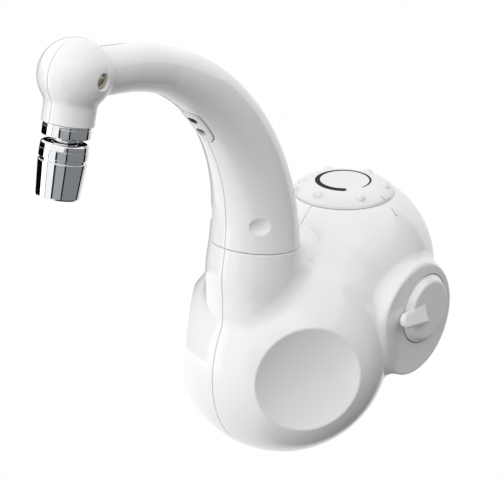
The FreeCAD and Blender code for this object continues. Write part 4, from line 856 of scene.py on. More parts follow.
@dataclass
class Knob:
    """The domed temperature knob with its nubs, scale and index mark."""
    reach: float = 40.0
    base: float = 51.9
    rows: tuple[Pair, ...] = ((30.0, 0.0), (29.2, 1.5), (26.0, 3.7), (21.0, 5.5), (15.8, 6.6))
    soft: float = 1.6
    sharp_rim: Pair = (29.0, 1.5)
    top_slope: float = 0.9
    rim_slope: float = 0.36
    rim_round: float = 0.8
    wall: float = 2.4
    roof: float = 2.0
    hub: float = 6.5
    bore: float = 3.06
    grip: float = 4.5
    nub_ring: float = 23.6
    nub_radius: float = 3.5
    nub_rise: float = 2.9
    nub_count: int = 6
    nub_turn: float = -29.7
    nub_foot: float = 0.35
    pitch: float = 0.45
    box: Rows = ((-31.5, 31.5), (-71.5, -8.5), (50.5, 60.5))
    print_depth: float = 0.15
    print_lift: float = 0.03
    scale_ring: float = 15.5
    scale_start: float = 43.0
    scale_sweep: float = 323.0
    scale_steps: int = 120
    scale_half: Pair = (1.55, 0.28)
    scale_end: float = 0.015
    index: Triple = (91.0, 26.6, 29.3)

    def local(self, points: Array) -> tuple[Array, Array]:
        """Distance from the knob's axis and height over its base."""
        return np.hypot(points[:, 0], points[:, 1] + self.reach), points[:, 2] - self.base

    def dome(self, distance: Array) -> Array:
        """Height of the dome over the knob's base at a distance from its axis."""
        radii, heights = zip(*self.rows[::-1])
        shifts = np.linspace(-self.soft, self.soft, 9)
        smooth = sum(np.interp(distance + shift, radii, heights) for shift in shifts) / len(shifts)
        edge = np.interp(distance, radii, heights)
        blend = np.clip((self.sharp_rim[0] - distance) / self.sharp_rim[1], 0, 1)
        return np.minimum(edge + (smooth - edge) * blend, self.rows[-1][1])

    def outside(self, points: Array) -> Array:
        """Dome with its row of nubs."""
        distance, z = self.local(points)
        top = (z - self.dome(distance)) * self.top_slope
        rim = distance - self.rows[0][0] + self.rim_slope * np.maximum(z, 0)
        step = 2 * math.pi / self.nub_count
        angle = np.arctan2(points[:, 1] + self.reach, points[:, 0]) - math.radians(self.nub_turn)
        angle = (angle + step / 2) % step - step / 2
        nub = np.sqrt((distance * np.cos(angle) - self.nub_ring) ** 2 + (distance * np.sin(angle)) ** 2
                      + (z - self.nub_rise) ** 2) - self.nub_radius
        return rounded_union(rounded_cut(top, rim, self.rim_round), nub, self.nub_foot)

    def below(self, points: Array) -> Array:
        """Hollow below the knob, less its hub."""
        distance, z = self.local(points)
        ring = np.maximum(distance - self.rows[0][0] + self.wall, self.hub - distance)
        return -np.maximum(ring, z - self.roof)

    def shaft_hole(self, points: Array) -> Array:
        """Bore for the shaft."""
        distance, z = self.local(points)
        return -np.maximum(distance - self.bore, z - self.grip)

    def arc_mark(self, name: str, rows: Rows, finish: Finish) -> Piece:
        """A thin printed band on the dome.

        Args:
            name: The piece's name.
            rows: Azimuth in degrees from the front towards the drum's side, inner radius and outer radius.
            finish: Its ink.
        Returns:
            A closed thin band.
        """
        corners, faces = [], []
        for azimuth, inner, outer in rows:
            cos, sin = turned_by(azimuth)
            across = np.linspace(inner, outer, 7)
            for radii, rise in ((across, -self.print_depth), (across[::-1], self.print_lift)):
                corners += zip(radii * sin, -self.reach - radii * cos, self.dome(radii) + self.base + rise)
        total = len(corners) // len(rows)
        for i in range(len(rows) - 1):
            a, b = total * i, total * (i + 1)
            faces.extend([a + k, a + (k + 1) % total, b + (k + 1) % total, b + k] for k in range(total))
        faces.append(list(range(total))[::-1])
        faces.append([len(corners) - total + k for k in range(total)])
        return to_object(name, np.array(corners), faces, finish)

    def scale_rows(self) -> list[Triple]:
        """The crescent: thick at the cold end and thinning all the way round to the hot end."""
        rows = []
        for share in np.arange(self.scale_steps + 1) / self.scale_steps:
            half = self.scale_half[0] * (1 - share) ** 0.75 + self.scale_half[1]
            half *= 0.6 + 0.4 * min(share / self.scale_end, 1)
            rows.append((self.scale_start - self.scale_sweep * share, self.scale_ring - half,
                         self.scale_ring + half))
        return rows

    def dress(self) -> None:
        """Make the knob, its printed scale and its index mark."""
        walls = [self.outside, self.below, self.shaft_hole, lambda p: self.base - p[:, 2]]
        piece = from_skin("temperature_knob", Mould(walls, grid(self.box, self.pitch)).cast(), KNOB_WHITE)
        hand_over(piece, "knob", "temp_knob")
        hand_over(self.arc_mark("knob_scale", self.scale_rows(), SCALE_INK), "knob")
        azimuth, inner, outer = self.index
        rows = [(azimuth + turn, inner, outer) for turn in (-0.5, 0.0, 0.5)]
        hand_over(self.arc_mark("knob_index", rows, INK), "knob")


@dataclass
class Lever:
    """The side lever: a bevelled disc with a raised wing."""
    foot: float = 57.4
    disc: float = 20.5
    slope: float = 3.2
    tall: float = 3.6
    disc_round: float = 0.7
    wing_turn: float = 6.5
    crown_slope: float = 0.42
    tip: float = 28.4
    tail: float = -2.5
    wide: float = 9.4
    heel: float = 12.0
    heel_round: float = 1.3
    bow: float = 1.8
    wing_tall: float = 4.6
    wing_round: float = 2.4
    bore: float = 3.56
    bore_depth: float = 2.56
    pitch: float = 0.38
    box: Rows = ((56.6, 67), (-69, -13.5), (-30.5, 13))

    def outside(self, points: Array) -> Array:
        """Disc and wing in one skin."""
        x = points[:, 0] - self.foot
        y, z = points[:, 1] - LEVER_AXIS[0], points[:, 2] - LEVER_AXIS[1]
        ratio = self.slope / self.tall
        cone = (np.hypot(y, z) - self.disc + ratio * x) / math.hypot(1, ratio)
        disc = rounded_cut(cone, x - self.tall, self.disc_round)
        cos, sin = turned_by(self.wing_turn)
        y, z = y * cos - z * sin, y * sin + z * cos
        up = np.abs(z)
        tip_y = self.wide / 2 - self.tip
        run = self.tail - tip_y
        growth = (self.heel - self.wide) / 2 / run
        half = self.wide / 2 + growth * (y - tip_y)
        sides = (up - half) / math.hypot(1, growth)
        nose = np.hypot(y - tip_y, up) - self.wide / 2
        sweep = np.where(y < tip_y, nose, sides)
        radius = ((self.heel / 2) ** 2 + self.bow ** 2) / (2 * self.bow)
        hollow = np.maximum(radius - np.hypot(y - (self.tail - self.bow + radius), up), y - self.tail)
        plan = rounded_cut(sweep, hollow, self.heel_round)
        crown = x - self.tall - self.wing_tall + self.crown_slope * (z + self.heel / 2)
        wing = rounded_cut(plan, crown / math.hypot(1, self.crown_slope), self.wing_round)
        wing = np.maximum(wing, self.tall - 1.0 - x)
        return rounded_union(disc, wing, self.disc_round)

    def dress(self) -> None:
        """Cast the lever and let it stand for its node."""
        walls = [
            self.outside,
            lambda p: self.foot - p[:, 0],
            lambda p: -np.maximum(off_axis(p, LEVER_AXIS) - self.bore, p[:, 0] - self.foot - self.bore_depth),
        ]
        piece = from_skin("selector_lever", Mould(walls, grid(self.box, self.pitch)).cast(), LEVER_WHITE)
        hand_over(piece, "lever", "side_lever")


# ---------------------------------------------------------------- spout

@dataclass
class SpoutForm:
    """The arched tapering tube with its head ball and outlet stub as one smooth skin."""
    swivel: Swivel
    bend_start: float = 8.0
    bend: float = 118.0
    turn: float = 82.0
    run: float = 31.5
    tip: float = 12.1
    taper: float = 146.0
    head: float = 18.1
    head_round: float = 9.5
    stub: float = 12.9
    stub_round: float = 6.0
    stub_drop: float = 23.2
    tilt: float = 14.3
    dimple_turn: float = 47.5
    dimple_rise: float = 18.0
    dimple_wide: float = 6.6
    dimple_tall: float = 4.9
    dimple_depth: float = 3.2
    dimple_edge: float = 0.3

    @property
    def bend_centre(self) -> Array:
        """Centre of the bend."""
        return np.array([0.0, -self.swivel.reach - self.bend, self.swivel.rise + self.bend_start])

    @property
    def head_centre(self) -> Array:
        """Centre of the head ball."""
        cos, sin = turned_by(self.turn)
        return self.bend_centre + np.array([0, cos, sin]) * self.bend + np.array([0, -sin, cos]) * self.run

    @property
    def outlet(self) -> Array:
        """The way the water leaves the head."""
        cos, sin = turned_by(self.tilt)
        return np.array([0.0, -sin, -cos])

    def radius_at(self, length: Array) -> Array:
        """Radius of the tube at a length along it."""
        top = self.swivel.radius
        return top + (self.tip - top) * np.clip(length / self.taper, 0, 1)

    def tube(self, points: Array) -> Array:
        """Distance to the endless tube."""
        cos, sin = turned_by(self.turn)
        _, y, z = (points - self.bend_centre).T
        straight = z * cos - y * sin
        low, far = z < 0, (straight > 0) & (z >= 0)
        along = np.where(low, z, self.bend * np.arctan2(z, y))
        along = np.where(far, self.bend * math.radians(self.turn) + straight, along) + self.bend_start
        side = np.where(low, y, np.where(far, y * cos + z * sin, np.hypot(y, z))) - self.bend
        return np.hypot(points[:, 0], side) - self.radius_at(along)

    def knuckle(self, along: Array, rho: Array, bar: Array, radius: float,
                hollow: float) -> Array:
        """Head ball joined to a round bar by a hollow round.

        Args:
            along: Distance along the bar's axis from the ball's centre.
            rho: Distance from that axis.
            bar: Distance to the bar's skin.
            radius: The bar's radius.
            hollow: The hollow round.
        Returns:
            Distance to both.
        """
        ball = np.hypot(along, rho) - self.head
        level = math.sqrt((self.head + hollow) ** 2 - (radius + hollow) ** 2)
        wedge = (along * (radius + hollow) > rho * level) & (along < level)
        bar = np.where(along < 0, np.maximum(bar, -along), bar)
        rounded = hollow - np.hypot(rho - radius - hollow, along - level)
        return np.where(wedge, rounded, np.minimum(ball, bar))

    def outlet_frame(self, points: Array) -> tuple[Array, Array]:
        """Distance along the outlet's axis and distance from it."""
        offset = points - self.head_centre
        along = offset @ self.outlet
        return along, np.linalg.norm(offset - along[:, None] * self.outlet, axis=-1)

    def plain(self, points: Array) -> Array:
        """Outside without the dimple."""
        cos, sin = turned_by(self.turn)
        inward = np.array([0, sin, -cos])
        offset = points - self.head_centre
        back = offset @ inward
        tube = self.tube(points)
        rho = np.linalg.norm(offset - back[:, None] * inward, axis=-1)
        near = self.knuckle(back, rho, tube, self.tip, self.head_round)
        near = np.where(back > self.run, tube, near)
        drop, away = self.outlet_frame(points)
        return np.minimum(near, self.knuckle(drop, away, away - self.stub, self.stub, self.stub_round))

    def dimple(self, points: Array) -> Array:
        """Distance to the oval that hollows the dimple."""
        cos, sin = turned_by(self.dimple_turn)
        out, side = np.array([sin, -cos, 0.0]), np.array([cos, sin, 0.0])
        centre = np.array([0.0, -self.swivel.reach, self.swivel.rise + self.dimple_rise])
        offset = points - centre - out * self.radius_at(np.array([self.bend_start]))[0]
        local = np.stack([offset @ side, offset @ out, offset[:, 2]], axis=-1)
        semi = np.array([self.dimple_wide, self.dimple_depth, self.dimple_tall])
        first = np.linalg.norm(local / semi, axis=-1)
        second = np.linalg.norm(local / semi ** 2, axis=-1) + TINY
        return first * (first - 1) / second

    def skin(self, points: Array) -> Array:
        """The whole outside."""
        return rounded_cut(self.plain(points), -self.dimple(points), self.dimple_edge)


@dataclass
class WindowForm:
    """The long round-ended sensor cover on the inner side of the bend."""
    spout: SpoutForm
    turn: float = 45.2
    long: float = 27.0
    wide: float = 12.0
    thick: float = 2.4
    proud: float = 0.5
    edge: float = 0.5
    seam: float = 0.5
    lens: float = 2.9
    lens_play: float = 0.06
    lens_pitch: float = 10.3
    pitch: float = 0.3
    box: Triple = (6.6, 12.5, 12.5)
    box_out: float = 16.0

    @property
    def out(self) -> Array:
        """The way the cover faces."""
        cos, sin = turned_by(self.turn)
        return np.array([0.0, -cos, -sin])

    @property
    def lengthwise(self) -> Array:
        """The way along the cover, up the spout."""
        return np.array([0.0, -self.out[2], self.out[1]])

    @property
    def spot(self) -> Array:
        """The point of the tube's centre line below the cover."""
        return self.spout.bend_centre - self.out * self.spout.bend

    def local(self, points: Array) -> tuple[Array, Array, Array]:
        """Across, along and out of the cover."""
        offset = points - self.spot
        return offset[:, 0], offset @ self.lengthwise, offset @ self.out

    def plan(self, points: Array) -> Array:
        """Distance to the round-ended outline."""
        across, along, _ = self.local(points)
        run = (self.long - self.wide) / 2
        return np.hypot(across, np.maximum(np.abs(along) - run, 0)) - self.wide / 2

    def lens_gap(self, points: Array) -> Array:
        """Distance to the axis of the nearer lens."""
        across, along, _ = self.local(points)
        return np.hypot(across, np.abs(along) - self.lens_pitch / 2)

    def opening(self, points: Array) -> Array:
        """What the cover's place takes out of the spout."""
        return np.minimum(self.seam - self.plan(points), self.local(points)[2])


@dataclass
class Spout:
    """The two spout mouldings, the sensor cover with its lenses and the head screw."""
    form: SpoutForm
    window: WindowForm
    wall: float = 2.4
    dimple_wall: float = 1.6
    split: float = 0.12
    groove: float = 0.25
    floor: float = 4.85
    floor_hole: float = 20.8
    mouth: float = 11.1
    mouth_drop: float = 16.2
    screw_back: float = 1.9
    screw_drop: float = 0.4
    recess: float = 3.9
    lip: float = 0.6
    recess_floor: float = 13.6
    ledge: float = 5.7
    ledge_depth: float = 1.8
    shank: float = 1.76
    shank_from: float = 4.0
    lens_sunk: float = 4.4
    pitch: float = 0.72
    box: Rows = ((0, 27.5), (-274, -93), (42, 197))
    seam: tuple[float, ...] = (-0.4, 0.02, 0.2, 0.38, 0.62)

    def screw_gap(self, points: Array) -> Array:
        """Distance to the head screw's axis."""
        _, y, z = self.form.head_centre
        return off_axis(points, (y + self.screw_back, z - self.screw_drop))

    def inside(self, points: Array) -> Array:
        """Hollow of the spout, less the ledge below the screw."""
        height = self.form.swivel.height(points)
        hollow = np.maximum(self.form.plain(points) + self.wall, self.floor - height)
        hollow = np.maximum(hollow, self.dimple_wall - self.form.dimple(points))
        cos, sin = turned_by(self.form.swivel.lean)
        offset = points - np.array([0, -self.form.swivel.reach, self.form.swivel.rise])
        rho = np.linalg.norm(offset - height[:, None] * np.array([0, sin, cos]), axis=-1)
        way = np.maximum(rho - self.floor_hole, height - self.floor - 1)
        ledge = np.maximum(self.screw_gap(points) - self.ledge, self.recess_floor - self.ledge_depth
                           - points[:, 0])
        return np.minimum(-np.minimum(hollow, way), ledge)

    def mouth_only(self, points: Array) -> Array:
        """Mouth of the stub."""
        drop, away = self.form.outlet_frame(points)
        return np.minimum(self.mouth - away, drop - self.mouth_drop)

    def cuts(self, points: Array) -> Array:
        """Mouth of the stub, screw recess and screw hole."""
        gap, depth = self.screw_gap(points), points[:, 0] - self.recess_floor
        recess = np.minimum(self.recess - gap, depth)
        hole = np.minimum(self.shank - gap, points[:, 0] - self.shank_from)
        lip = np.minimum(self.recess + self.lip - gap + self.form.plain(points), depth)
        return np.maximum(np.maximum(self.mouth_only(points), lip * BEVEL), np.maximum(recess, hole))

    def stub_end(self, points: Array) -> Array:
        """The flat end of the outlet stub."""
        drop, away = self.form.outlet_frame(points)
        return np.minimum(drop - self.form.stub_drop, self.form.head - away)

    def shells(self) -> None:
        """Cast both halves."""
        swivel = self.form.swivel
        plain = [self.form.skin, lambda p: swivel.gap - swivel.height(p), self.stub_end, self.window.opening,
                 *seam_walls(self.form.skin, self.split, self.groove), self.inside]
        cast_halves("spout", plain, {"right": self.cuts, "left": self.mouth_only},
                    grid(self.box, self.pitch, self.seam))

    def sensor(self) -> None:
        """Cast the sensor cover and turn its two lenses."""
        window, form = self.window, self.form
        walls = [
            lambda p: rounded_cut(form.plain(p) - window.proud, window.plan(p), window.edge),
            lambda p: -form.plain(p) - window.thick,
            lambda p: window.lens + window.lens_play - window.lens_gap(p),
            lambda p: -window.local(p)[2],
        ]
        middle = window.spot + window.out * window.box_out
        axes = grid(list(zip(middle - window.box, middle + window.box)), window.pitch)
        cover = from_skin("sensor_cover", Mould(walls, axes).cast(), WINDOW_WHITE)
        hand_over(cover, "spout", "sensor_window")
        reach = form.radius_at(np.array([form.bend_start + form.bend * math.radians(window.turn)]))[0]
        radius = window.lens
        outline = rounded_outline([(0, 0, 0), (radius, 0, 0.1), (radius, 4.3, 0.5), (0, 4.75, 0)], 6)
        lenses = []
        for side in (-0.5, 0.5):
            foot = window.spot + window.out * (reach - self.lens_sunk)
            foot = foot + window.lengthwise * side * window.lens_pitch
            lenses.append(lathe("lens", outline, Placing(tuple(foot), tuple(window.out)), LENS, 48))
        hand_over(merged("sensor_lens_pair", lenses), "spout", "sensor_lenses")

    def screw(self) -> None:
        """Turn the head screw with its round socket."""
        _, y, z = self.form.head_centre
        base = (0.0, float(y + self.screw_back), float(z - self.screw_drop))
        outline = rounded_outline([(0, 6.2, 0), (1.7, 6.2, 0.3), (1.7, 13.6, 0), (3.3, 13.6, 0.15),
                                   (3.3, 15.4, 0.4), (1.35, 16.3, 0.15), (1.15, 14.4, 0), (0, 14.4, 0)])
        piece = lathe("head_socket_screw", outline, Placing(base, (1.0, 0, 0)), ZINC, 48)
        hand_over(piece, "spout", "head_screw")

    def dress(self) -> None:
        """Make every seen piece of the spout."""
        self.shells()
        self.sensor()
        self.screw()


def merged(name: str, pieces: Sequence[Piece]) -> Piece:
    """Join several pieces into one mesh.

    Args:
        name: The new piece's name.
        pieces: What goes into it.
    Returns:
        The joined piece.
    """
    with bpy.context.temp_override(active_object=pieces[0], selected_editable_objects=list(pieces)):
        bpy.ops.object.join()
    pieces[0].name = name
    pieces[0].data.name = name
    return pieces[0]


# ---------------------------------------------------------------- forms from Geometry Nodes

def new_tree(name: str, inputs: dict[str, str]) -> tuple[Tree, list]:
    """Start a Geometry Nodes tree.

    Args:
        name: The tree's name.
        inputs: Kind of each input by its name.
    Returns:
        The tree and its input sockets, whose identifiers set their values.
    """
    tree = bpy.data.node_groups.new(name, "GeometryNodeTree")
    tree.interface.new_socket("Geometry", in_out="INPUT", socket_type="NodeSocketGeometry")
    sockets = [tree.interface.new_socket(label, in_out="INPUT", socket_type=f"NodeSocket{kind}")
               for label, kind in inputs.items()]
    tree.interface.new_socket("Geometry", in_out="OUTPUT", socket_type="NodeSocketGeometry")
    return tree, sockets


def from_nodes(name: str, tree: Tree, parts: Sequence[Socket], finish: Finish, values: dict,
               placing: Placing | None = None) -> Piece:
    """End a Geometry Nodes tree and turn it into one plain mesh in its place.

    Args:
        name: The piece's name.
        tree: The tree, which works in metres about its own origin.
        parts: What the tree joins and gives out.
        finish: What the piece is made of.
        values: Input values by interface socket.
        placing: Where the piece stands, if not at the frame's origin.
    Returns:
        The finished piece.
    """
    joined = add(tree, "GeometryNodeJoinGeometry")
    for socket in parts:
        tree.links.new(socket, joined.inputs[0])
    plain = add(tree, "GeometryNodeRealizeInstances", {"Geometry": joined.outputs[0]})
    faced = add(tree, "GeometryNodeSetMaterial", {"Geometry": plain.outputs[0], "Material": finish.build()})
    add(tree, "NodeGroupOutput", {"Geometry": faced.outputs[0]})
    carrier = placed(name + "_carrier", bpy.data.meshes.new(name + "_carrier"))
    modifier = carrier.modifiers.new("make", "NODES")
    modifier.node_group = tree
    for socket, value in values.items():
        modifier[socket.identifier] = value
    bpy.context.view_layer.update()
    mesh = bpy.data.meshes.new_from_object(carrier.evaluated_get(bpy.context.evaluated_depsgraph_get()))
    mesh.name = name
    carrier.modifiers.clear()
    bpy.data.objects.remove(carrier)
    if placing:
        points = np.empty(len(mesh.vertices) * 3)
        mesh.vertices.foreach_get("co", points)
        points = placing.apply(points.reshape(-1, 3) / MM) * MM
        mesh.vertices.foreach_set("co", points.ravel())
        mesh.update()
    return placed(name, mesh)


# ---------------------------------------------------------------- outlet

@dataclass
class Outlet:
    """Collar, ball stem and tilting cup in bright chrome, with the mesh at the cup's end."""
    form: SpoutForm
    ball: float = 9.0
    ball_drop: float = 42.0
    ball_seat: float = 9.3
    ball_steps: int = 24
    stem_bore: float = 3.4
    waist: float = 5.6
    mesh_radius: float = 9.25
    mesh_drop: float = 16.2
    rim_wire: float = 0.4
    wire: float = 0.16
    wires: int = 17

    def placing(self, drop: float = 0.0) -> Placing:
        """The outlet's axis at a distance below the head's centre."""
        return Placing(tuple(self.form.head_centre + self.form.outlet * drop), tuple(self.form.outlet))

    def collar(self) -> list[Pair]:
        """Outline of the collar below the head."""
        return rounded_outline([(9.06, 23.5, 0.2), (12.0, 23.5, 0.35), (12.0, 24.7, 0.1), (11.75, 24.8, 0.05),
                                (11.75, 25.1, 0.05), (12.0, 25.2, 0.1), (12.0, 29.8, 0.7), (5.9, 29.8, 0.25),
                                (5.9, 28.4, 0), (9.06, 28.4, 0)])

    def stem(self) -> list[Pair]:
        """Outline of the ball stem: flange, waist and ball with its bore."""
        flat = 6.8
        outline = [(self.stem_bore, 26.0), (8.4, 26.0), (8.4, 27.8), (self.waist, 27.8)]
        start = math.asin(self.waist / self.ball)
        stop = math.pi - math.acos(flat / self.ball)
        for angle in np.linspace(start, stop, self.ball_steps + 1):
            outline.append((self.ball * math.sin(angle), self.ball_drop - self.ball * math.cos(angle)))
        return [*outline, (self.stem_bore, self.ball_drop + flat)]

    def cap(self) -> list[Pair]:
        """Outline of the cup's upper half, hollowed by the ball."""
        outline = rounded_outline([(8.2, -9.5, 0.1), (10.9, -9.5, 0.3), (11.8, -8.7, 0.4),
                                   (11.95, -6.3, 0.05), (11.75, -6.15, 0.03), (11.75, -5.95, 0.03),
                                   (12, -5.8, 0.05), (12, -1.8, 0.35), (11.3, -1.8, 0.05), (11.3, -0.8, 0)])
        hollow = [(math.sqrt(self.ball_seat ** 2 - h ** 2), h) for h in np.linspace(-0.8, -4.0, 7)[1:]]
        return [*outline, (9.25, -0.8), *hollow, (7.9, -4.9)]

    def body(self) -> list[Pair]:
        """Outline of the cup's lower half."""
        return rounded_outline([(9.6, -0.8, 0), (11.3, -0.8, 0), (11.3, -0.45, 0.05), (12, -0.1, 0.35),
                                (11.9, 1.6, 0.1), (10.8, 17.0, 0.7), (10.3, 17.8, 0.4), (9.4, 17.8, 0.15),
                                (9.4, 9, 0), (9.6, 8, 0)])

    def dress(self) -> None:
        """Turn the chrome pieces and weave the mesh."""
        for name, outline, drop, body, node in (
                ("chrome_collar", self.collar(), 0.0, "spout", "outlet_collar"),
                ("chrome_ball_stem", self.stem(), 0.0, "outlet_stem", "ball_stem"),
                ("chrome_cup_cap", self.cap(), self.ball_drop, "outlet_cup", "cup_cap"),
                ("chrome_cup_body", self.body(), self.ball_drop, "outlet_cup", "cup_body")):
            hand_over(lathe(name, outline, self.placing(drop), CHROME), body, node)
        self.mesh()

    def mesh(self) -> None:
        """The outlet's woven wires: two crossed rows cut round by a rim, made by Geometry Nodes."""
        tree, (count, wire, ring) = new_tree("woven_outlet", {
            "Wires": "Int", "Wire radius": "Float", "Rim radius": "Float"})
        given = add(tree, "NodeGroupInput").outputs
        radius = given["Rim radius"]
        start = add(tree, "ShaderNodeMath", {0: radius, 1: -1.0}, operation="MULTIPLY").outputs[0]
        ends = [add(tree, "ShaderNodeCombineXYZ", {"X": end}).outputs[0] for end in (start, radius)]
        line = add(tree, "GeometryNodeMeshLine", {"Count": given["Wires"], "Start Location": ends[0],
                                                  "Offset": ends[1]}, mode="END_POINTS")
        place = add(tree, "GeometryNodeInputPosition").outputs[0]
        across = add(tree, "ShaderNodeSeparateXYZ", {0: place}).outputs["X"]
        share = add(tree, "ShaderNodeMath", {0: across, 1: radius}, operation="DIVIDE").outputs[0]
        square = add(tree, "ShaderNodeMath", {0: share, 1: share}, operation="MULTIPLY").outputs[0]
        rest = add(tree, "ShaderNodeMath", {0: 1.0, 1: square}, operation="SUBTRACT").outputs[0]
        rest = add(tree, "ShaderNodeMath", {0: rest, 1: 0.02}, operation="MAXIMUM").outputs[0]
        chord = add(tree, "ShaderNodeMath", {0: rest}, operation="SQRT").outputs[0]
        scale = add(tree, "ShaderNodeCombineXYZ", {"X": 1.0, "Y": 1.0, "Z": chord}).outputs[0]
        length = add(tree, "ShaderNodeMath", {0: radius, 1: 2.0}, operation="MULTIPLY").outputs[0]
        bar = add(tree, "GeometryNodeMeshCylinder", {"Vertices": 6, "Radius": given["Wire radius"],
                                                     "Depth": length}).outputs[0]
        laid = add(tree, "GeometryNodeInstanceOnPoints", {
            "Points": line.outputs[0], "Instance": bar, "Rotation": (math.pi / 2, 0, 0), "Scale": scale})
        rows = []
        for turn, lift in ((0.0, -0.08), (math.pi / 2, 0.08)):
            row = add(tree, "GeometryNodeTransform", {"Geometry": laid.outputs[0], "Rotation": (0, 0, turn),
                                                      "Translation": (0, 0, lift * MM)})
            rows.append(row.outputs[0])
        hoop, section = (add(tree, "GeometryNodeCurvePrimitiveCircle", {"Resolution": steps, "Radius": size})
                         for steps, size in ((64, radius), (10, self.rim_wire * MM)))
        rim = add(tree, "GeometryNodeCurveToMesh", {"Curve": hoop.outputs[0],
                                                    "Profile Curve": section.outputs[0]})
        values = {count: self.wires, wire: self.wire * MM, ring: (self.mesh_radius - self.rim_wire) * MM}
        piece = from_nodes("woven_outlet_mesh", tree, [*rows, rim.outputs[0]], STEEL, values,
                           self.placing(self.ball_drop + self.mesh_drop))
        hand_over(piece, "outlet_cup", "outlet_mesh")


# ---------------------------------------------------------------- back and inner pieces

@dataclass
class Inlet:
    """The brass inlet with its threaded end."""
    thread: float = 10.48
    root: float = 9.35
    pitch: float = 1.814
    length: float = 12.0
    bore: float = 7.0
    relief: float = 9.9
    flange: float = 14.5
    flange_rows: Pair = (-10.8, -6.8)
    plain_end: float = 0.6
    run_out: float = 1.2
    segments: int = 96

    def thread_radius(self, height: float, share: float) -> float:
        """Radius of the thread at a height and a share of the turn round the axis."""
        phase = (height / self.pitch - share) % 1.0
        crest = min(max(1.5 - abs(phase - 0.5) * 4, 0), 1)
        near_end = min(height, self.length - height) - self.plain_end
        return self.root + (self.thread - self.root) * crest * max(min(1.0, near_end / self.run_out), 0)

    def dress(self) -> None:
        """Turn the inlet and cut its thread as one helix."""
        low, high = self.plain_end, self.length - self.plain_end
        steps = int((high - low) / self.pitch * 8)
        start, stop = self.flange_rows
        outline = [(self.bore, start), (self.flange, start), (self.flange, stop), (self.relief, stop),
                   (self.relief, 0.0)]
        outline += [(None, low + (high - low) * k / steps) for k in range(steps + 1)]
        outline += [(self.root, self.length), (self.bore, self.length)]
        corners, faces = [], []
        total = len(outline)
        for k in range(self.segments):
            cos, sin = turned_by(360 * k / self.segments)
            a, b = k * total, (k + 1) % self.segments * total
            for i, (radius, height) in enumerate(outline):
                if radius is None:
                    radius = self.thread_radius(height, k / self.segments)
                corners.append((radius * cos, radius * sin, height))
                j = (i + 1) % total
                faces.append([a + i, b + i, b + j, a + j])
        corners = Placing((0.0, 0.0, 0.0), (0.0, 1.0, 0.0)).apply(np.array(corners))
        piece = to_object("threaded_inlet", corners, faces, BRASS)
        hand_over(piece, "body", "inlet_spigot")


@dataclass
class PlateScrews:
    """Four countersunk screws of the wall plate with round recesses, set out by Geometry Nodes."""
    ring: float = 30.0
    rise: float = 6.2
    turns: tuple[int, ...] = (40, 140, 220, 320)
    head: float = 2.8
    shank: float = 1.5
    length: float = 11.0
    sunk: float = 0.3
    thread_turns: int = 14
    thread_depth: float = 0.3

    def one(self) -> Piece:
        """One screw along its own axis, head towards the wall."""
        outline = [(0, -self.length)]
        for k in range(self.thread_turns * 2 + 1):
            height = -self.length + 0.7 + (self.length - 2.6) * k / (self.thread_turns * 2)
            outline.append((self.shank if k % 2 else self.shank - self.thread_depth, height))
        outline += [(self.shank, -1.6), (self.head, -self.sunk - 0.25), (self.head, -self.sunk),
                    (1.25, -self.sunk), (0.75, -1.1), (0, -1.3)]
        return lathe("plate_screw_pattern", outline, Placing((0, 0, 0), (0, 1.0, 0)), ZINC, 24)

    def dress(self) -> None:
        """Set the screws out on their circle."""
        pattern = self.one()
        tree, (screw, ring) = new_tree("plate_screw_ring", {"Screw": "Object", "Ring radius": "Float"})
        given = add(tree, "NodeGroupInput").outputs
        shape = add(tree, "GeometryNodeObjectInfo", {"Object": given["Screw"]}).outputs["Geometry"]
        set_out = []
        for turn in self.turns:
            cos, sin = turned_by(turn)
            spot = add(tree, "ShaderNodeVectorMath", {0: (cos, 0, sin), "Scale": given["Ring radius"]},
                       operation="SCALE")
            lifted = add(tree, "ShaderNodeVectorMath", {0: spot.outputs[0], 1: (0, 0, self.rise * MM)},
                         operation="ADD")
            moved = add(tree, "GeometryNodeTransform", {"Geometry": shape, "Translation": lifted.outputs[0]})
            set_out.append(moved.outputs[0])
        piece = from_nodes("plate_screw_set", tree, set_out, ZINC, {screw: pattern, ring: self.ring * MM})
        bpy.data.objects.remove(pattern)
        hand_over(piece, "body", "plate_screws")


@dataclass
class BodyMarks:
    """The printed pointer beside the knob: a thin line that ends in a dot."""
    form: BodyForm
    start: Pair = (33.6, -39.0)
    stop: Pair = (37.7, -39.2)
    half: float = 0.14
    dot: float = 0.42
    lift: float = 0.03
    sink: float = 0.1
    above: float = 52.0

    def on_skin(self, points: Array) -> Array:
        """Drop points straight down onto the body's skin."""
        points = points.copy()
        for _ in range(40):
            points[:, 2] -= self.form.shoulder(points)
        return points

    def dress(self) -> None:
        """Print the mark on the lobe, just outside the knob."""
        first, last = np.array(self.start), np.array(self.stop)
        along = (last - first) / np.linalg.norm(last - first)
        side = np.array([-along[1], along[0]]) * self.half
        steps = np.arange(9)[:, None] / 8
        line = first + (last - first) * steps
        round_dot = [last + self.dot * np.array(turned_by(360 * k / 24)) for k in range(24)]
        for name, outline in (("body_pointer_line", np.concatenate([line - side, line[::-1] + side])),
                              ("body_pointer_dot", round_dot)):
            total = len(outline)
            lower = self.on_skin(np.column_stack([outline, np.full(total, self.above)]))
            lean = slope(self.form.shoulder, lower)
            corners = np.concatenate([lower - self.sink * lean, lower + self.lift * lean])
            faces = [[k, (k + 1) % total, total + (k + 1) % total, total + k] for k in range(total)]
            faces += [list(range(total))[::-1], list(range(total, 2 * total))]
            hand_over(to_object(name, corners, faces, INK), "body")


@dataclass
class CarriedOver:
    """Nodes whose own solids stay: each gets the finish of its slot."""

    def dress(self) -> None:
        """Give every node that is still shown its finish."""
        for row in frame["record"]["subparts"]:
            node = frame["nodes"][row["node"]]
            finish = SLOT_FINISHES[row["material_slot"]]
            node.data.materials.clear()
            node.data.materials.append(finish.build())


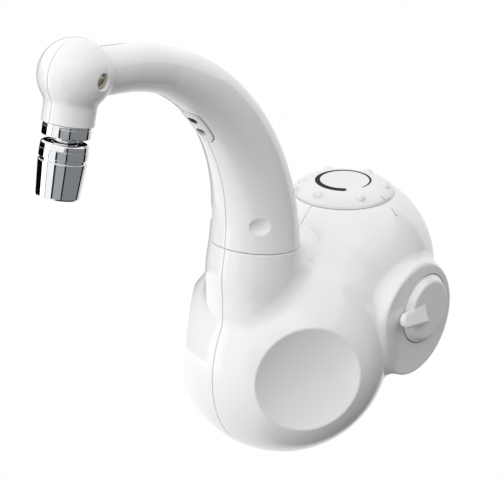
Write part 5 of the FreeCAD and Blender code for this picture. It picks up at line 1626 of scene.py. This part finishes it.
# ---------------------------------------------------------------- studio

@dataclass
class Studio:
    """Camera, soft lights, white surround and the dark cards that chrome mirrors."""
    azimuth: float = 40.3
    elevation: float = 23.3
    distance: float = 1.0
    lens: float = 129.6
    aim: Triple = (0.0, -0.121, 0.0465)
    shift: Pair = (-0.0025, 0.00017)
    floor: float = -0.4
    floor_half: float = 4.0
    floor_glow: float = 0.95
    dark_side: Triple = (0.74, 0.24, -0.628)
    soft_light: tuple[float, float, float, float] = (0.33, 0.74, 1.02, 0.0)
    mirrored_light: tuple[float, float, float, float] = (0.4, 0.56, 1.08, 0.06)
    lamps: tuple[tuple[str, Triple, Pair, float], ...] = (
        ("side_softbox", (-0.95, -1.1, 0.0), (0.9, 0.9), 2.5),
        ("top_softbox", (0.5, -0.95, 1.3), (1.8, 0.6), 2.5))
    lamp_aim: Triple = (0.0, -0.12, 0.04)
    card_centre: Triple = (0.0, -0.262, 0.0)
    card_distance: float = 0.45
    card_rows: Pair = (-0.14, 0.2)
    cards: tuple[tuple[float, float, str], ...] = (
        (-180, -96, "0A0A0B"), (-67, -64, "77797B"), (-32, -23, "2C2D2E"), (-23, 15, "A9ABAD"),
        (15, 22, "1E1F20"), (22, 110, "858789"), (110, 127, "0E0E0F"), (127, 178, "F2F2F2"))

    def camera(self) -> None:
        """Stand the camera at the picture's angle."""
        cos_a, sin_a = turned_by(self.azimuth)
        cos_e, sin_e = turned_by(self.elevation)
        right = Vector((cos_a, sin_a, 0))
        level = Vector((sin_a, -cos_a, 0))
        up = Vector((0, 0, 1)) * cos_e - level * sin_e
        back = Vector((0, 0, 1)) * sin_e + level * cos_e
        target = Vector(self.aim) + right * self.shift[0] + up * self.shift[1]
        data = bpy.data.cameras.new("picture_camera")
        data.sensor_fit = "HORIZONTAL"
        data.sensor_width = 36
        data.lens = self.lens
        data.clip_end = 20
        eye = placed("picture_camera", data)
        axes = Matrix((right, up, back)).transposed().to_4x4()
        eye.matrix_world = Matrix.Translation(target + back * self.distance) @ axes
        bpy.context.scene.camera = eye

    def lamp(self, name: str, place: Triple, size: Pair, power: float) -> None:
        """An oblong soft light that faces the tap.

        Args:
            name: The light's name.
            place: Where it stands, in metres.
            size: Its width and height.
            power: Its strength in watts.
        """
        data = bpy.data.lights.new(name, "AREA")
        data.shape = "RECTANGLE"
        data.size, data.size_y = size
        data.energy = power
        facing = (Vector(self.lamp_aim) - Vector(place)).to_track_quat("-Z", "Y").to_matrix().to_4x4()
        placed(name, data).matrix_world = Matrix.Translation(place) @ facing

    def surround(self) -> None:
        """World that the eye sees as white, and surfaces as light on one side and dark on the other."""
        world = bpy.data.worlds.new("studio_surround")
        tree = cleared(world)
        path = add(tree, "ShaderNodeLightPath").outputs
        way = add(tree, "ShaderNodeTexCoord").outputs["Generated"]
        side = add(tree, "ShaderNodeVectorMath", {0: way, 1: self.dark_side}, operation="DOT_PRODUCT")
        lights = []
        for start, stop, brightest, darkest in (self.soft_light, self.mirrored_light):
            level = add(tree, "ShaderNodeMapRange", {
                "Value": side.outputs["Value"], "From Min": start, "From Max": stop, "To Min": brightest,
                "To Max": darkest})
            lights.append(add(tree, "ShaderNodeBackground", {"Color": linear("FFFFFF"),
                                                             "Strength": level.outputs["Result"]}))
        white = add(tree, "ShaderNodeBackground", {"Color": linear("FFFFFF"), "Strength": 1.0})
        lit = add(tree, "ShaderNodeMixShader", {0: path["Is Glossy Ray"], 1: lights[0].outputs[0],
                                                2: lights[1].outputs[0]})
        eye = add(tree, "ShaderNodeMath", {0: path["Is Camera Ray"], 1: path["Is Transmission Ray"]},
                  operation="MAXIMUM")
        both = add(tree, "ShaderNodeMixShader", {0: eye.outputs[0], 1: lit.outputs[0], 2: white.outputs[0]})
        add(tree, "ShaderNodeOutputWorld", {"Surface": both.outputs[0]})
        bpy.context.scene.world = world

    def backdrop_material(self) -> bpy.types.Material:
        """Pale floor that the eye and mirrors see as white and that keeps a soft shadow."""
        material = bpy.data.materials.new("pale_floor_paper")
        tree = cleared(material)
        path = add(tree, "ShaderNodeLightPath").outputs
        seen = add(tree, "ShaderNodeMath", {0: path["Is Camera Ray"], 1: path["Is Glossy Ray"]},
                   operation="MAXIMUM")
        share = add(tree, "ShaderNodeMath", {0: seen.outputs[0], 1: self.floor_glow}, operation="MULTIPLY")
        paper = add(tree, "ShaderNodeBsdfDiffuse", {"Color": linear("F4F4F4")})
        glow = add(tree, "ShaderNodeEmission", {"Color": linear("FFFFFF"), "Strength": 1.0})
        both = add(tree, "ShaderNodeMixShader", {0: share.outputs[0], 1: paper.outputs[0],
                                                 2: glow.outputs[0]})
        add(tree, "ShaderNodeOutputMaterial", {"Surface": both.outputs[0]})
        return material

    def floor_plane(self) -> None:
        """A wide plain floor well below the tap, as the tap hangs on a wall."""
        half, level = self.floor_half, self.floor
        corners = [(x * half, y * half, level) for x, y in ((-1, -1), (1, -1), (1, 1), (-1, 1))]
        mesh = bpy.data.meshes.new("studio_floor")
        mesh.from_pydata(corners, [], [(0, 1, 2, 3)])
        mesh.materials.append(self.backdrop_material())
        self.as_stage(placed("studio_floor", mesh), "diffuse", "glossy")

    def as_stage(self, item: Piece, *unseen: str) -> None:
        """Make an object part of the stage, unseen by some kinds of ray."""
        for ray in unseen:
            setattr(item, f"visible_{ray}", False)

    def card(self, name: str, start: float, stop: float, grey: str) -> None:
        """A curved card round the outlet that only mirrors see.

        Args:
            name: The card's name.
            start: Where it begins, in degrees off the camera's side towards the picture's right.
            stop: Where it ends.
            grey: Its colour.
        """
        steps = max(2, int(abs(stop - start) / 4))
        corners = []
        for k in range(steps + 1):
            cos, sin = turned_by(self.azimuth + start + (stop - start) * k / steps)
            spot = Vector(self.card_centre) + Vector((sin, -cos, 0)) * self.card_distance
            corners += [(spot.x, spot.y, height) for height in self.card_rows]
        mesh = bpy.data.meshes.new(name)
        mesh.from_pydata(corners, [], [(2 * k, 2 * k + 2, 2 * k + 3, 2 * k + 1) for k in range(steps)])
        material = bpy.data.materials.new(name)
        tree = cleared(material)
        glow = add(tree, "ShaderNodeEmission", {"Color": linear(grey), "Strength": 1.0})
        add(tree, "ShaderNodeOutputMaterial", {"Surface": glow.outputs[0]})
        mesh.materials.append(material)
        self.as_stage(placed(name, mesh), "camera", "diffuse", "shadow", "transmission")

    def dress(self) -> None:
        """Set the studio up."""
        self.camera()
        self.surround()
        self.floor_plane()
        for lamp in self.lamps:
            self.lamp(*lamp)
        for number, card in enumerate(self.cards):
            self.card(f"mirror_card_{number}", *card)
        bpy.context.scene.view_settings.view_transform = "Standard"

def main() -> None:
    """Build every sub-assembly in order."""
    swivel = Swivel()
    body_form = BodyForm(swivel)
    spout_form = SpoutForm(swivel)
    for part in (CarriedOver(), BodyShells(body_form), SideDrum(body_form), Knob(), Lever(),
                 Spout(spout_form, WindowForm(spout_form)), Outlet(spout_form), Inlet(), PlateScrews(),
                 BodyMarks(body_form), Studio()):
        part.dress()


if __name__ == "__main__":
    main()
